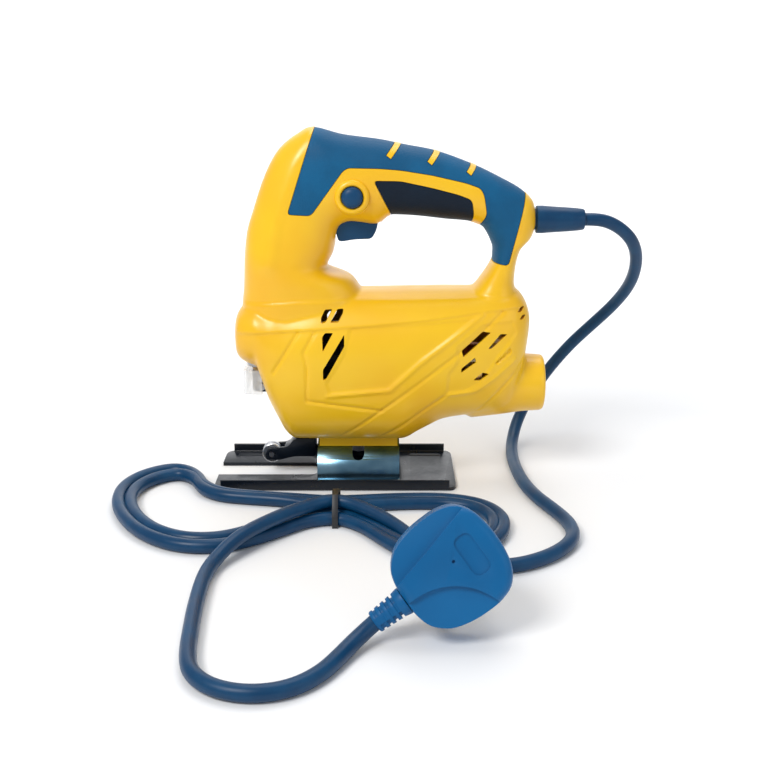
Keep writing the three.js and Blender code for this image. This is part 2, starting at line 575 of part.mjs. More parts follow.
function addMotor() {
  const [front, back] = STACK;
  const core = onX(MOTOR_STATOR_RADIUS, front, back, 0, MOTOR_Z, 28)
    .intersect(block([front, back], [-FAR, FAR], [MOTOR_Z - 20.5, MOTOR_Z + 20.5]));
  const bore = onX(ARMATURE_RADIUS + 0.6, front - 1, back + 1, 0, MOTOR_Z, 28);
  const slots = [-52, 128].map((start) => sector(10, 18.8, start, start + 104, front - 1, back + 1));
  add('stator_core', core.subtract(joined([bore, ...slots])), STEEL);
  const coil = (pole) => sector(14.3, 18.4, pole - 86, pole + 86, front - 5, back + 5)
    .subtract(sector(10, 20, pole - 55, pole + 55, front - 0.5, back + 0.5));
  add('field_coil_upper', coil(90), COPPER);
  add('field_coil_lower', coil(-90), COPPER);

  const pinion = prism(
    toothed(PINION_TEETH, 0.45, 0.7, Math.PI / 2 + Math.PI / PINION_TEETH, 0, MOTOR_Z),
    'x', GEAR_FACE[0] - 1, GEAR_FACE[1] + 1.5,
  );
  const shaft = onX(MOTOR_SHAFT_RADIUS, GEAR_FACE[1] + 1.4, REAR_BEARING[1] + 0.5, 0, MOTOR_Z, 16);
  add('armature_shaft', pinion.add(shaft), STEEL);
  const bored = (inner, outer, x0, x1, sides) => (
    ring('x', [0, 0, MOTOR_Z], inner + GAP, outer, x0, x1, sides)
  );
  const grooves = Array.from({ length: 10 }, (_, k) => {
    const angle = (k / 10) * TURN;
    const [y, z] = [ARMATURE_RADIUS * Math.cos(angle), MOTOR_Z + ARMATURE_RADIUS * Math.sin(angle)];
    return onX(1.4, front - 1, back + 1, y, z, 6);
  });
  const stack = bored(MOTOR_SHAFT_RADIUS, ARMATURE_RADIUS, front, back, 24);
  add('armature_core', stack.subtract(joined(grooves)), STEEL);
  const commutator = bored(MOTOR_SHAFT_RADIUS, COMMUTATOR_RADIUS, BRUSH_X - 5.5, BRUSH_X + 5.5, 24);
  add('commutator', commutator, COPPER);
  const blades = Array.from({ length: FAN_BLADES }, (_, k) => {
    const blade = block([-6.6, 4], [-0.7, 0.7], [9, 22.5]);
    return blade.rotate([(k * 360) / FAN_BLADES, 0, 0]).translate([0, 0, MOTOR_Z]);
  });
  const disc = bored(MOTOR_SHAFT_RADIUS, 23, 3.4, 5, 24);
  const hub = bored(MOTOR_SHAFT_RADIUS, 9.6, -5, 5, 18);
  add('cooling_fan', joined([disc, hub, ...blades]), DARK_PLASTIC);
  const bearing = ([x0, x1]) => bored(MOTOR_SHAFT_RADIUS, BEARING_RADIUS, x0, x1, 20);
  add('bearing_front', bearing(FRONT_BEARING), STEEL);
  add('bearing_rear', bearing(REAR_BEARING), STEEL);

  const sides = [['left', -1], ['right', 1]];
  for (const [name, side] of sides) {
    const span = (a, b) => [Math.min(side * a, side * b), Math.max(side * a, side * b)];
    const box = (halfX, halfZ, a, b) => block(
      [BRUSH_X - halfX, BRUSH_X + halfX], span(a, b), [MOTOR_Z - halfZ, MOTOR_Z + halfZ],
    );
    const tip = COMMUTATOR_RADIUS + GAP;
    add(`brush_holder_${name}`, box(4.6, 5, tip + 1.6, 22).subtract(box(2.8, 3.3, 5, 30)), BRASS);
    add(`carbon_brush_${name}`, box(2.5, 3, tip, 19), CARBON);
  }
}

// ---------------------------------------------------------------- gearbox and plunger
const CRANK_PIN_RADIUS = 2.8;
const YOKE_BACK = GEAR_FACE[0] - 5;

function addGearbox() {
  const [gearFront, gearBack] = GEAR_FACE;
  const gearTip = GEAR_PITCH_RADIUS + 0.45;
  const plateX = [gearBack + 2, gearBack + 5];
  const wallY = [gearTip + 0.8, gearTip + 2.8];
  const height = [LOWER_BUSHING[1] - 4.8, UPPER_BUSHING[1]];
  const bridgeX = [ROD_X - BUSHING_RADIUS - 3.3, ROD_X + BUSHING_RADIUS + 1.3];
  const wallX = [ROD_X - 3, plateX[1]];
  const frame = joined([
    block(plateX, [-wallY[1], wallY[1]], [55, height[1]]),
    block(wallX, wallY, height),
    block(wallX, [-wallY[1], -wallY[0]], height),
    // the upper bushing's seat is open in front, where the nose closes it
    block([wallX[0], bridgeX[1]], [-wallY[1], wallY[1]], UPPER_BUSHING),
    block(bridgeX, [-wallY[1], wallY[1]], [height[0], LOWER_BUSHING[1]]),
    // roof over the drive gear
    block(wallX, [-wallY[1], wallY[1]], [GEAR_AXIS_Z + gearTip + 0.8, UPPER_BUSHING[1]]),
  ]).intersect(hollowForm(GAP));
  const seat = onX(BEARING_RADIUS + 3.2, plateX[0], FRONT_BEARING[1], 0, MOTOR_Z, 24);
  const lowerBoss = onZ(LOWER_BOSS_RADIUS, GUARD_TOP + GAP, LOWER_BUSHING[1], ROD_X, 0, 24);
  const cuts = [
    onX(BEARING_RADIUS + GAP, FRONT_BEARING[0] - GAP, 0, 0, MOTOR_Z, 24),
    onX(MOTOR_SHAFT_RADIUS + 0.8, -40, 0, 0, MOTOR_Z, 16),
    onX(AXLE_RADIUS + GAP, -40, 0, 0, GEAR_AXIS_Z, 16),
    onZ(BUSHING_RADIUS + GAP, 50, 120, ROD_X, 0, 20),
  ];
  add('gear_case', frame.add(seat).add(lowerBoss).subtract(joined(cuts)), ALLOY);

  const disc = prism(toothed(GEAR_TEETH, 0.45, 0.75, 0, 0, GEAR_AXIS_Z), 'x', gearFront, gearBack);
  const pin = onX(CRANK_PIN_RADIUS, gearFront - 4.4, gearFront + 1, 0, YOKE_Z, 14);
  const counterweight = sector(6, 13.5, 220, 320, gearFront - 3, gearFront + 0.5, 8)
    .translate([0, 0, GEAR_AXIS_Z - MOTOR_Z]);
  const bore = onX(AXLE_RADIUS + AXLE_RUNNING_GAP, -50, 0, 0, GEAR_AXIS_Z, 16);
  add('drive_gear', joined([disc, pin, counterweight]).subtract(bore), STEEL);
  const axle = onX(AXLE_RADIUS, gearFront - 0.8, plateX[1] + 1.5, 0, GEAR_AXIS_Z, 16);
  add('gear_axle', axle, STEEL);

  const bushing = ([z0, z1]) => (
    ring('z', [ROD_X, 0, 0], ROD_RADIUS + ROD_RUNNING_GAP, BUSHING_RADIUS, z0, z1, 20)
  );
  add('plunger_bushing_upper', bushing(UPPER_BUSHING), BRONZE);
  add('plunger_bushing_lower', bushing(LOWER_BUSHING), BRONZE);

  const yokePlate = block([ROD_X, YOKE_BACK], [-14, 14], [YOKE_Z - 5.7, YOKE_Z + 5.7]);
  const slotHalf = CRANK_PIN_RADIUS + 0.4;
  const slotZ = [YOKE_Z - slotHalf, YOKE_Z + slotHalf];
  const yokeSlot = block([ROD_X + ROD_RADIUS + 0.4, YOKE_BACK + 1], [-11.4, 11.4], slotZ);
  const plunger = onZ(ROD_RADIUS, ROD_BOTTOM, ROD_TOP, ROD_X, 0, 20);
  add('plunger', yokePlate.subtract(yokeSlot).add(plunger), STEEL);

  const socket = onZ(ROD_RADIUS + GAP, ROD_BOTTOM - GAP, 80, ROD_X, 0, 20);
  const bladeSlot = block([ROD_X - 4.2, ROD_X + 4.2], [-0.8, 0.8], [40, ROD_BOTTOM - 1]);
  const screwZ = [ROD_BOTTOM - 2.6, ROD_BOTTOM + 2.2];
  const screwTip = ROD_RADIUS + 2 * GAP;
  const screwHoles = screwZ.map((z) => onY(1.8, -20, -screwTip + GAP, ROD_X, z, 12));
  const clamp = onZ(CLAMP_RADIUS, ROD_BOTTOM - 6, ROD_BOTTOM + 5, ROD_X, 0, 20);
  add('blade_clamp', clamp.subtract(joined([socket, bladeSlot, ...screwHoles])), BLACK);
  screwZ.forEach((z, i) => {
    const headSeat = -CLAMP_RADIUS - GAP;
    const screw = onY(1.5, headSeat - 1, -screwTip, ROD_X, z, 10)
      .add(onY(2.1, headSeat - 2.4, headSeat, ROD_X, z, 6));
    add(`clamp_screw_${i + 1}`, screw, STEEL);
  });
}

// ---------------------------------------------------------------- sole, tilt bracket, roller, guard
function roundedRectangle(x0, x1, halfY, radius, steps = 4) {
  const points = [];
  const corners = [[x1, halfY, 0], [x0, halfY, 1], [x0, -halfY, 2], [x1, -halfY, 3]];
  for (const [x, y, quarter] of corners) {
    const [cx, cy] = [x - Math.sign(x - (x0 + x1) / 2) * radius, y - Math.sign(y) * radius];
    for (let k = 0; k <= steps; k += 1) {
      const angle = ((quarter + k / steps) * Math.PI) / 2;
      points.push([cx + radius * Math.cos(angle), cy + radius * Math.sin(angle)]);
    }
  }
  return points;
}

function addSole() {
  const half = SOLE_LENGTH / 2;
  const plate = prism(roundedRectangle(-half, half, SOLE_HALF_WIDTH, 6), 'z', 0, SOLE_THICKNESS);
  const tray = prism(roundedRectangle(-half, half, SOLE_HALF_WIDTH, 6), 'z', 0, SOLE_FLANGE_HEIGHT)
    .subtract(prism(roundedRectangle(-half - 20, half + 20, SOLE_HALF_WIDTH - 1.8, 2), 'z', -1, 20))
    .intersect(block([-half + 4, half - 4], [-FAR, FAR], [0, 20]));
  const slotHalf = SOLE_SLOT_HALF_WIDTH;
  const slot = block([-half - 5, SOLE_SLOT_END], [-slotHalf, slotHalf], [-1, 5]);
  const window = block([BASE_BOLT_X - 6.6, BASE_BOLT_X + 6.6], [-6.6, 6.6], [-1, 5]);
  add('sole_plate', plate.add(tray).subtract(slot).subtract(window), BLACK);

  const x0 = TILT_BRACKET_FRONT;
  const x1 = x0 + TILT_BRACKET_LENGTH;
  const foot = SOLE_THICKNESS + GAP;
  const arch = onX(TILT_RADIUS, x0, x1, 0, SOLE_THICKNESS, 32)
    .add(block([x0, x1], [-TILT_RADIUS - 5, TILT_RADIUS + 5], [foot, foot + TILT_BRACKET_SHEET]))
    .subtract(onX(TILT_RADIUS - TILT_BRACKET_SHEET, x0 - 1, x1 + 1, 0, SOLE_THICKNESS, 32))
    .intersect(block([x0, x1], [-FAR, FAR], [foot, 60]));
  const slotSide = TILT_RADIUS * Math.sin((45 + 11) * (Math.PI / 180));
  const boltSlot = block(
    [BASE_BOLT_X - BASE_BOLT_RADIUS - GAP, BASE_BOLT_X + BASE_BOLT_RADIUS + GAP],
    [-slotSide, slotSide], [8, 40],
  );
  add('tilt_bracket', arch.subtract(boltSlot), ZINC);

  const headTop = SOLE_THICKNESS + TILT_RADIUS - TILT_BRACKET_SHEET - 1.4;
  const bolt = onZ(BASE_BOLT_RADIUS, headTop - 1, 34, BASE_BOLT_X, 0, 14)
    .add(onZ(5.5, headTop - 4.5, headTop, BASE_BOLT_X, 0, 6));
  add('base_bolt', bolt, STEEL);
}

function addRoller() {
  const [x, z] = ROLLER;
  const outline = [
    [x - 3.2, z - 3], [x + 4, z - 3.4], [-24, 11.4], [SOLE_SLOT_END - 0.6, 11.4],
    [SOLE_SLOT_END - 0.6, 22], [-24, 22], [-27.5, 17], [x - 2, z + 3.4], [x - 3.6, z],
  ];
  const forkInner = ROLLER_HALF_WIDTH + GAP;
  const fork = prism(outline, 'y', -forkInner - 2, forkInner + 2)
    .subtract(block([-60, x + ROLLER_RADIUS + 2], [-forkInner, forkInner], [0, 40]))
    .subtract(onY(1.5 + GAP, -FAR, FAR, x, z, 12));
  add('roller_bracket', fork, BLACK);
  const groove = ROLLER_RADIUS - 1.6;
  const halfWidth = ROLLER_HALF_WIDTH;
  const profile = [
    [1.55, -halfWidth], [ROLLER_RADIUS, -halfWidth], [ROLLER_RADIUS, -0.9], [groove, -0.7],
    [groove, 0.7], [ROLLER_RADIUS, 0.9], [ROLLER_RADIUS, halfWidth], [1.55, halfWidth], [1.55, -halfWidth],
  ];
  add('guide_roller', turned(profile, 'y', [x, 0, z], 20), STEEL);
  add('roller_pin', onY(1.5, -forkInner - 2.4, forkInner + 2.4, x, z, 12), STEEL);
}

function addGuard() {
  const wall = 1.6;
  const halfWidth = CHANNEL_HALF_WIDTH - GAP - 0.3;
  const [front, back] = [-50.6, -40];
  const [low, high] = [51, GUARD_TOP];
  const shell = block([front, back], [-halfWidth, halfWidth], [low, high])
    .subtract(block([front + wall, back + 5], [-halfWidth + wall, halfWidth - wall], [low - 5, high + 5]));
  add('dust_guard', shell, CLEAR);
}

// ---------------------------------------------------------------- cord, strain relief and plug
const LEAD_POINTS = [
  [135.5, 0, 145.5], [145, 0.3, 145.3], [156, 5, 140], [165.5, 13, 130.5], [170.5, 25, 117], [170.5, 39, 102],
  [165, 52, 87.5], [155.5, 61, 74], [143, 66, 59.5], [130, 66, 43.5], [118, 60.5, 27.5], [109.5, 50.5, 14.5],
  [105, 37, 6.4], [103, 21, 3.8], [102.5, 3, 3.6], [103.2, -15, 3.6], [105.5, -33, 3.6], [110, -50, 3.6],
  [116, -66, 3.6], [120.5, -82, 3.6], [120, -98, 3.6], [112.5, -112, 3.6], [101, -123, 3.6],
  [88, -129.8, 3.6], [74.9, -131, 3.6],
];
const TAIL_POINTS = [
  [-48.5, -120.4, 3.6], [-52.6, -128.6, 3.6], [-54.8, -143, 3.6], [-54, -159, 3.6], [-52.5, -174, 3.6],
  [-50, -189, 3.6], [-46.5, -204, 3.6], [-41, -219, 3.6], [-32, -231, 3.6], [-20, -237.5, 3.6],
  [-8.5, -233, 3.6], [-1, -222, 3.6], [4.5, -210, 3.6], [12, -200.5, 4.4], [22.2, -195.1, 8.4],
];
const HANK_OUTLINE = [
  [-4, -50.5], [-30, -45.5], [-55, -41], [-67, -36.5], [-76, -20], [-80, -5], [-87, 4], [-96, 2],
  [-107, -8], [-116, -20], [-121.5, -38], [-118, -58], [-108, -78], [-92, -99], [-76, -112],
  [-62, -116.8], [-53, -116.5], [-43, -122.5], [-30, -106], [-14, -90], [-4, -79.5], [8, -79.5],
  [22, -94], [36, -116], [50, -130], [62, -136.3], [74, -136.5], [74, -125.5], [84, -112], [92, -92],
  [93, -78], [88, -60], [78, -49], [60, -46.5], [30, -48], [8, -50.5],
];

const PLUG_CENTRE = [54, -185, 29.5];
const PLUG_DEPTH = 19;
const PLUG_FACE_TILT = 20; // degrees the plug leans back
const PLUG_TURN = 36; // degrees its cord exit dips below the horizontal
const PLUG_RELIEF_END = 38;
const PLUG_EDGE = 22.5;

function plugGroup() {
  const tilt = THREE.MathUtils.degToRad(PLUG_FACE_TILT);
  const turn = THREE.MathUtils.degToRad(PLUG_TURN);
  const right = vec(1, 0, 0);
  const up = vec(0, Math.sin(tilt), Math.cos(tilt));
  const out = vec(0, -Math.cos(tilt), Math.sin(tilt));
  const localY = right.clone().multiplyScalar(Math.cos(turn)).addScaledVector(up, Math.sin(turn));
  const localX = localY.clone().cross(out);
  const group = new THREE.Group();
  group.quaternion.setFromRotationMatrix(new THREE.Matrix4().makeBasis(localX, localY, out));
  group.position.set(...PLUG_CENTRE);
  return group;
}

function addCordPieces() {
  const relief = turned([
    [0, 97], [RELIEF_NECK, 97], [RELIEF_NECK, 108.9], [7.4, 109.1], [7.4, 114], [6.2, 130],
    [5.2, RELIEF_END], [0, RELIEF_END]], 'x', [0, 0, RELIEF_Z], 12);
  add('strain_relief', relief, CORD);
  const clamp = block([88.5, 94], [-7.5, 7.5], [148.2, 152.5]).intersect(hollowForm(GAP));
  add('cord_clamp', clamp, DARK_PLASTIC);

  add('cord_lead', tube(LEAD_POINTS, CORD_RADIUS, 8, 36), CORD);
  add('cord_tail', tube(TAIL_POINTS, CORD_RADIUS, 8, 22), CORD);
  add('cord_hank', prism(HANK_OUTLINE, 'z', 0, HANK_HEIGHT), CORD);
  const arch = (extra) => [
    [-79.5 - extra, 0], [-50.5 + extra, 0], [-50.5 + extra, HANK_HEIGHT + extra],
    [-79.5 - extra, HANK_HEIGHT + extra],
  ];
  const tie = prism(arch(GAP + 1.3), 'x', 0, 4).subtract(prism(arch(GAP), 'x', -1, 5));
  add('cord_tie', tie, DARK_PLASTIC);
}

function addPlug() {
  const group = plugGroup();
  jigsaw.add(group);
  const half = PLUG_DEPTH / 2;
  const outline = [
    [-7, -PLUG_EDGE], [7, -PLUG_EDGE], [14, -20.5], [20, -14], [22.6, -4], [22.8, 8], [20.5, 16],
    [14, 21], [5, 22.8], [-5, 22.8], [-14, 21], [-20.5, 16], [-22.8, 8], [-22.6, -4], [-20, -14],
    [-14, -20.5],
  ];
  const layers = [[-half, 0], [half - 6, 0], [half - 2.5, -2], [half, -6]];
  const rings = layers.map(([z, inset]) => grown(outline, inset).map(([x, y]) => vec(x, y, z)));
  const body = loft(rings);
  add('plug_body', body, PLUG, group);
  const sleeve = turned(
    [[0, PLUG_EDGE + GAP], [6, PLUG_EDGE + GAP], [5.2, PLUG_RELIEF_END - 6], [4.6, PLUG_RELIEF_END],
      [0, PLUG_RELIEF_END]].map(([r, along]) => [r, -along]),
    'y', [0, 0, 0], 14,
  );
  add('plug_relief', sleeve, PLUG, group);
  const pinFace = -half - GAP;
  const pin = (x, y, halfX, halfY, length) => (
    block([x - halfX, x + halfX], [y - halfY, y + halfY], [pinFace - length, pinFace])
  );
  add('plug_pin_earth', pin(0, 11.1, 2, 4, 22.7), BRASS, group);
  add('plug_pin_live', pin(11.1, -11.1, 3.15, 2, 17.7), BRASS, group);
  add('plug_pin_neutral', pin(-11.1, -11.1, 3.15, 2, 17.7), BRASS, group);
}

addHousing();
addControls();
addMotor();
addGearbox();
addSole();
addRoller();
addGuard();
addCordPieces();
addPlug();

export default jigsaw;
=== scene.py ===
# %% [markdown]
# # A corded jigsaw, from its frame to its finishes
# The frame holds every working part at its real place. This lesson adds what the eye meets:
# the moulded shells, the soft grips, the pressed sole, the lead and its plug, and all the finishes.
# Lengths are typed in millimetres, as on a drawing, and turned into metres at the last step.

import math

import bpy
import numpy as np
from mathutils import Matrix, Vector


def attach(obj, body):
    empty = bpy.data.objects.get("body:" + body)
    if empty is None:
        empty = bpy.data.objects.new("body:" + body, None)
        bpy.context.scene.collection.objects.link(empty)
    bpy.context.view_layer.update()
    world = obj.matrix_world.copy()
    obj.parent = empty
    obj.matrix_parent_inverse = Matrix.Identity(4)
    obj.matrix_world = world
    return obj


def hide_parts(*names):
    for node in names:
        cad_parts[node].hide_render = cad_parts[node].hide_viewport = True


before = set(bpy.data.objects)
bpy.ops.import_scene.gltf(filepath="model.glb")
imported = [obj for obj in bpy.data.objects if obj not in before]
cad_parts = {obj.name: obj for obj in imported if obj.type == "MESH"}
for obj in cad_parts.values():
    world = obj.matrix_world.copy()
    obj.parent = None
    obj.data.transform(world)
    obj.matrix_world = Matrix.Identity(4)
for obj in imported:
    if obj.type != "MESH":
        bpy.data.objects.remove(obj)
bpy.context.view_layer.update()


MM = 0.001


# %% [markdown]
# ## The view
# The tool is looked at from its left side, a little from above, as it stands on a bench.
# The camera comes first, because the lead's free stretch has to lie within its view.

# %% Camera, floor and light
scene = bpy.context.scene
CAMERA_AT = (27 * MM, -595 * MM, 229 * MM)
CAMERA_PITCH = 16.5
LENS = 51.56

bpy.ops.object.camera_add(location=CAMERA_AT, rotation=(math.radians(90 - CAMERA_PITCH), 0, 0))
camera = bpy.context.object
camera.data.lens = LENS
camera.data.clip_start = 0.01
scene.camera = camera


def edit_edges(piece, wanted):
    """Enters Edit mode with only those edges selected whose two ends pass a test."""
    bpy.ops.object.mode_set(mode="EDIT")
    bpy.ops.mesh.select_all(action="DESELECT")
    bpy.ops.object.mode_set(mode="OBJECT")
    for edge in piece.data.edges:
        edge.select = all(wanted(piece.data.vertices[v].co) for v in edge.vertices)
    bpy.ops.object.mode_set(mode="EDIT")


FLOOR_SIZE, SWEEP_HEIGHT = 6, 4
bpy.ops.object.select_all(action="DESELECT")
bpy.ops.mesh.primitive_plane_add(size=FLOOR_SIZE, location=(0, 0, 0))
floor = bpy.context.object
floor.name = "floor"
edit_edges(floor, lambda point: point.y > 0)
bpy.ops.mesh.extrude_region_move(TRANSFORM_OT_translate={"value": (0, 0, SWEEP_HEIGHT)})
bpy.ops.object.mode_set(mode="OBJECT")
fold = floor.modifiers.new("fold", "BEVEL")
fold.width, fold.segments = 1.2, 16
bpy.ops.object.modifier_apply(modifier=fold.name)
bpy.ops.object.shade_smooth()


def area_light(name, place, aim, size, power, colour):
    bpy.ops.object.light_add(type="AREA", location=place)
    lamp = bpy.context.object
    lamp.name = name
    lamp.data.shape = "RECTANGLE"
    lamp.data.size, lamp.data.size_y = size
    lamp.data.energy = power
    lamp.data.color = colour
    lamp.rotation_euler = (Vector(aim) - Vector(place)).to_track_quat("-Z", "Y").to_euler()
    return lamp


area_light("key", (-0.55, -0.75, 0.95), (0, 0, 0.1), (0.5, 0.4), 9.5, (1, 0.98, 0.95))
area_light("fill", (0.9, -0.7, 0.5), (0, 0, 0.1), (0.8, 0.6), 1.4, (0.9, 0.95, 1))
area_light("top", (0.1, 0.35, 1.1), (0, 0, 0.1), (0.8, 0.8), 5, (1, 1, 1))
area_light("backdrop", (0, 0.9, 1.9), (0, 3, 0.9), (2.5, 1.5), 60, (1, 1, 1))

world = bpy.data.worlds.new("studio")
scene.world = world
world.use_nodes = True
world.node_tree.nodes["Background"].inputs["Color"].default_value = (0.93, 0.95, 1, 1)
world.node_tree.nodes["Background"].inputs["Strength"].default_value = 0.48
scene.view_settings.view_transform = "Standard"


# %% [markdown]
# ## Shader maths as plain expressions
# A finish is a small recipe of nodes. Wrapping a socket in a class lets the recipe read as
# arithmetic, so the numbers stay visible and the node tree builds itself.

# %% Socket wrapper and finish builder
class Sock:
    def __init__(self, tree, socket):
        self.tree, self.socket = tree, socket

    def maths(self, operation, other=None, swap=False):
        values = [self, other] if not swap else [other, self]
        inputs = {i: v for i, v in enumerate(values) if v is not None}
        return self.tree.node("ShaderNodeMath", {"operation": operation}, inputs)

    def __add__(self, other):
        return self.maths("ADD", other)

    def __radd__(self, other):
        return self.maths("ADD", other, True)

    def __sub__(self, other):
        return self.maths("SUBTRACT", other)

    def __rsub__(self, other):
        return self.maths("SUBTRACT", other, True)

    def __mul__(self, other):
        return self.maths("MULTIPLY", other)

    def __rmul__(self, other):
        return self.maths("MULTIPLY", other, True)


class Finish:
    """A material whose Principled shader takes its varying inputs from expressions."""

    def __init__(self, name):
        self.material = bpy.data.materials.new(name)
        self.material.use_nodes = True
        self.nodes = self.material.node_tree.nodes
        self.links = self.material.node_tree.links
        self.shader = self.nodes["Principled BSDF"]
        self.place = self.node("ShaderNodeTexCoord", {}, {}, "Object")

    def node(self, kind, settings, inputs, output=0):
        made = self.nodes.new(kind)
        for key, value in settings.items():
            setattr(made, key, value)
        for key, value in inputs.items():
            if isinstance(value, Sock):
                self.links.new(value.socket, made.inputs[key])
            else:
                made.inputs[key].default_value = value
        return Sock(self, made.outputs[output])

    def noise(self, scale, detail=3.0, rough=0.5, stretch=None):
        place = self.place
        if stretch:
            place = self.node("ShaderNodeMapping", {}, {"Vector": place, "Scale": stretch})
        inputs = {"Vector": place, "Scale": scale, "Detail": detail, "Roughness": rough}
        return self.node("ShaderNodeTexNoise", {}, inputs, "Fac")

    def cells(self, scale):
        inputs = {"Vector": self.place, "Scale": scale}
        return self.node("ShaderNodeTexVoronoi", {"feature": "F1"}, inputs, "Distance")

    def ramp(self, value, low, high):
        inputs = {"Value": value, "From Min": low, "From Max": high}
        return self.node("ShaderNodeMapRange", {"interpolation_type": "SMOOTHSTEP"}, inputs)

    def blend(self, factor, first, second):
        made = self.nodes.new("ShaderNodeMix")
        made.data_type = "RGBA"
        for socket, value in ((made.inputs[0], factor), (made.inputs[6], first), (made.inputs[7], second)):
            if isinstance(value, Sock):
                self.links.new(value.socket, socket)
            else:
                socket.default_value = value if not isinstance(value, tuple) else (*value, 1)
        return Sock(self, made.outputs[2])

    def set(self, **values):
        for key, value in values.items():
            socket = self.shader.inputs[key.replace("_", " ")]
            if isinstance(value, Sock):
                self.links.new(value.socket, socket)
            elif isinstance(value, tuple):
                socket.default_value = (*value, 1)
            else:
                socket.default_value = value
        return self

    def bump(self, height, strength, distance=0.001):
        inputs = {"Height": height, "Strength": strength, "Distance": distance}
        normal = self.node("ShaderNodeBump", {}, inputs)
        self.links.new(normal.socket, self.shader.inputs["Normal"])
        return self


# %% [markdown]
# ## Finishes
# Moulded plastic is never one flat colour: the tool it was moulded in leaves a fine spark-eroded
# grain, handling dulls it in soft clouds, and the colour drifts a little. Metal shows its rolling
# or turning direction. The grain is kept to about a millimetre or finer, the clouds to centimetres.

# %% Plastics and rubbers
def moulded(name, colour, deeper, rough, grain=0.10, coat=0.0, shine=0.5):
    finish = Finish(name)
    clouds = finish.noise(18, 3)
    wear = finish.noise(70, 4)
    fine = finish.noise(1700, 2)
    finish.set(
        Base_Color=finish.blend(finish.ramp(clouds, 0.3, 0.75), colour, deeper),
        Roughness=finish.ramp(wear, 0.2, 0.8) * 0.12 + (rough - 0.06),
        Specular_IOR_Level=shine,
        Coat_Weight=coat,
        Coat_Roughness=0.25,
    )
    finish.bump(fine, grain, 0.0002)
    return finish.material


YELLOW = moulded("amber_plastic", (0.93, 0.56, 0.006), (0.87, 0.45, 0.002), 0.34, 0.10, 0.2)
NAVY_PLASTIC = moulded("navy_plastic", (0.001, 0.056, 0.15), (0.001, 0.040, 0.11), 0.4, 0.12, 0, 0.3)
DARK_PLASTIC = moulded("dark_plastic", (0.02, 0.021, 0.024), (0.012, 0.013, 0.016), 0.5, 0.2)
PLUG_BLUE = moulded("plug_plastic", (0.001, 0.125, 0.33), (0.001, 0.095, 0.26), 0.42, 0.16, 0, 0.25)


def soft_grip(name, colour, deeper):
    finish = Finish(name)
    pebbles = finish.cells(900)
    dust = finish.noise(40, 4)
    finish.set(
        Base_Color=finish.blend(finish.ramp(dust, 0.35, 0.7), deeper, colour),
        Roughness=finish.ramp(dust, 0.2, 0.8) * 0.14 + 0.5,
        Specular_IOR_Level=0.25,
    )
    finish.bump(pebbles, 0.22, 0.0004)
    return finish.material


GRIP = soft_grip("soft_grip", (0.001, 0.105, 0.245), (0.001, 0.080, 0.19))
PAD = soft_grip("palm_rubber", (0.001, 0.010, 0.025), (0.001, 0.007, 0.018))


def cord_sheath():
    finish = Finish("cord_sheath")
    scuffs = finish.noise(90, 4)
    fine = finish.noise(1200, 2)
    finish.set(
        Base_Color=finish.blend(
            finish.ramp(scuffs, 0.35, 0.75), (0.001, 0.038, 0.105), (0.001, 0.052, 0.135),
        ),
        Roughness=finish.ramp(scuffs, 0.25, 0.75) * 0.16 + 0.28,
        Specular_IOR_Level=0.3,
    )
    finish.bump(fine, 0.12, 0.0002)
    return finish.material


SHEATH = cord_sheath()


def clear_plastic():
    finish = Finish("clear_plastic")
    haze = finish.noise(140, 4)
    finish.set(
        Base_Color=finish.blend(haze, (0.86, 0.88, 0.9), (0.95, 0.95, 0.94)),
        Roughness=finish.ramp(haze, 0.2, 0.8) * 0.12 + 0.08,
        IOR=1.49,
        Alpha=finish.ramp(haze, 0.1, 0.9) * 0.08 + 0.3,
    )
    return finish.material


CLEAR = clear_plastic()


# %% Metals
def metal(name, colour, rough, grain_stretch, grain=0.15, deeper=None, metallic=1.0):
    finish = Finish(name)
    streaks = finish.noise(260, 3, 0.6, grain_stretch)
    stains = finish.noise(35, 4)
    tint = deeper or tuple(value * 0.78 for value in colour)
    finish.set(
        Base_Color=finish.blend(finish.ramp(stains, 0.35, 0.8), colour, tint),
        Roughness=streaks * 0.16 + (rough - 0.08),
        Metallic=metallic,
    )
    finish.bump(streaks, grain, 0.0001)
    return finish.material


ZINC = metal("bright_zinc", (0.22, 0.37, 0.46), 0.24, (0.15, 1, 1), 0.12, (0.06, 0.15, 0.23))
STEEL = metal("turned_steel", (0.62, 0.63, 0.65), 0.28, (1, 1, 0.1))
SCREW = metal("plated_screw", (0.55, 0.56, 0.58), 0.3, (1, 1, 1))
LAMINATION = metal("lamination_steel", (0.30, 0.30, 0.32), 0.45, (8, 0.2, 0.2), 0.4)
COPPER = metal("enamelled_copper", (0.72, 0.27, 0.12), 0.32, (0.1, 1, 1), 0.3)
BRASS = metal("brass", (0.76, 0.56, 0.25), 0.28, (1, 1, 1))
BRONZE = metal("sintered_bronze", (0.55, 0.36, 0.16), 0.45, (1, 1, 1), 0.3)
ALLOY = metal("cast_alloy", (0.58, 0.59, 0.61), 0.5, (1, 1, 1), 0.5)
CARBON = metal("carbon_block", (0.05, 0.05, 0.055), 0.55, (1, 1, 1), 0.4, None, 0.0)


def black_paint():
    finish = Finish("black_paint")
    orange_peel = finish.noise(420, 2)
    scuffs = finish.noise(60, 5, 0.65)
    finish.set(
        Base_Color=finish.blend(
            finish.ramp(scuffs, 0.55, 0.8), (0.003, 0.006, 0.012), (0.008, 0.014, 0.024),
        ),
        Roughness=finish.ramp(scuffs, 0.3, 0.8) * 0.2 + 0.26,
        Specular_IOR_Level=0.3,
        Coat_Weight=0.1,
    )
    finish.bump(orange_peel, 0.15, 0.0003)
    return finish.material


BLACK = black_paint()


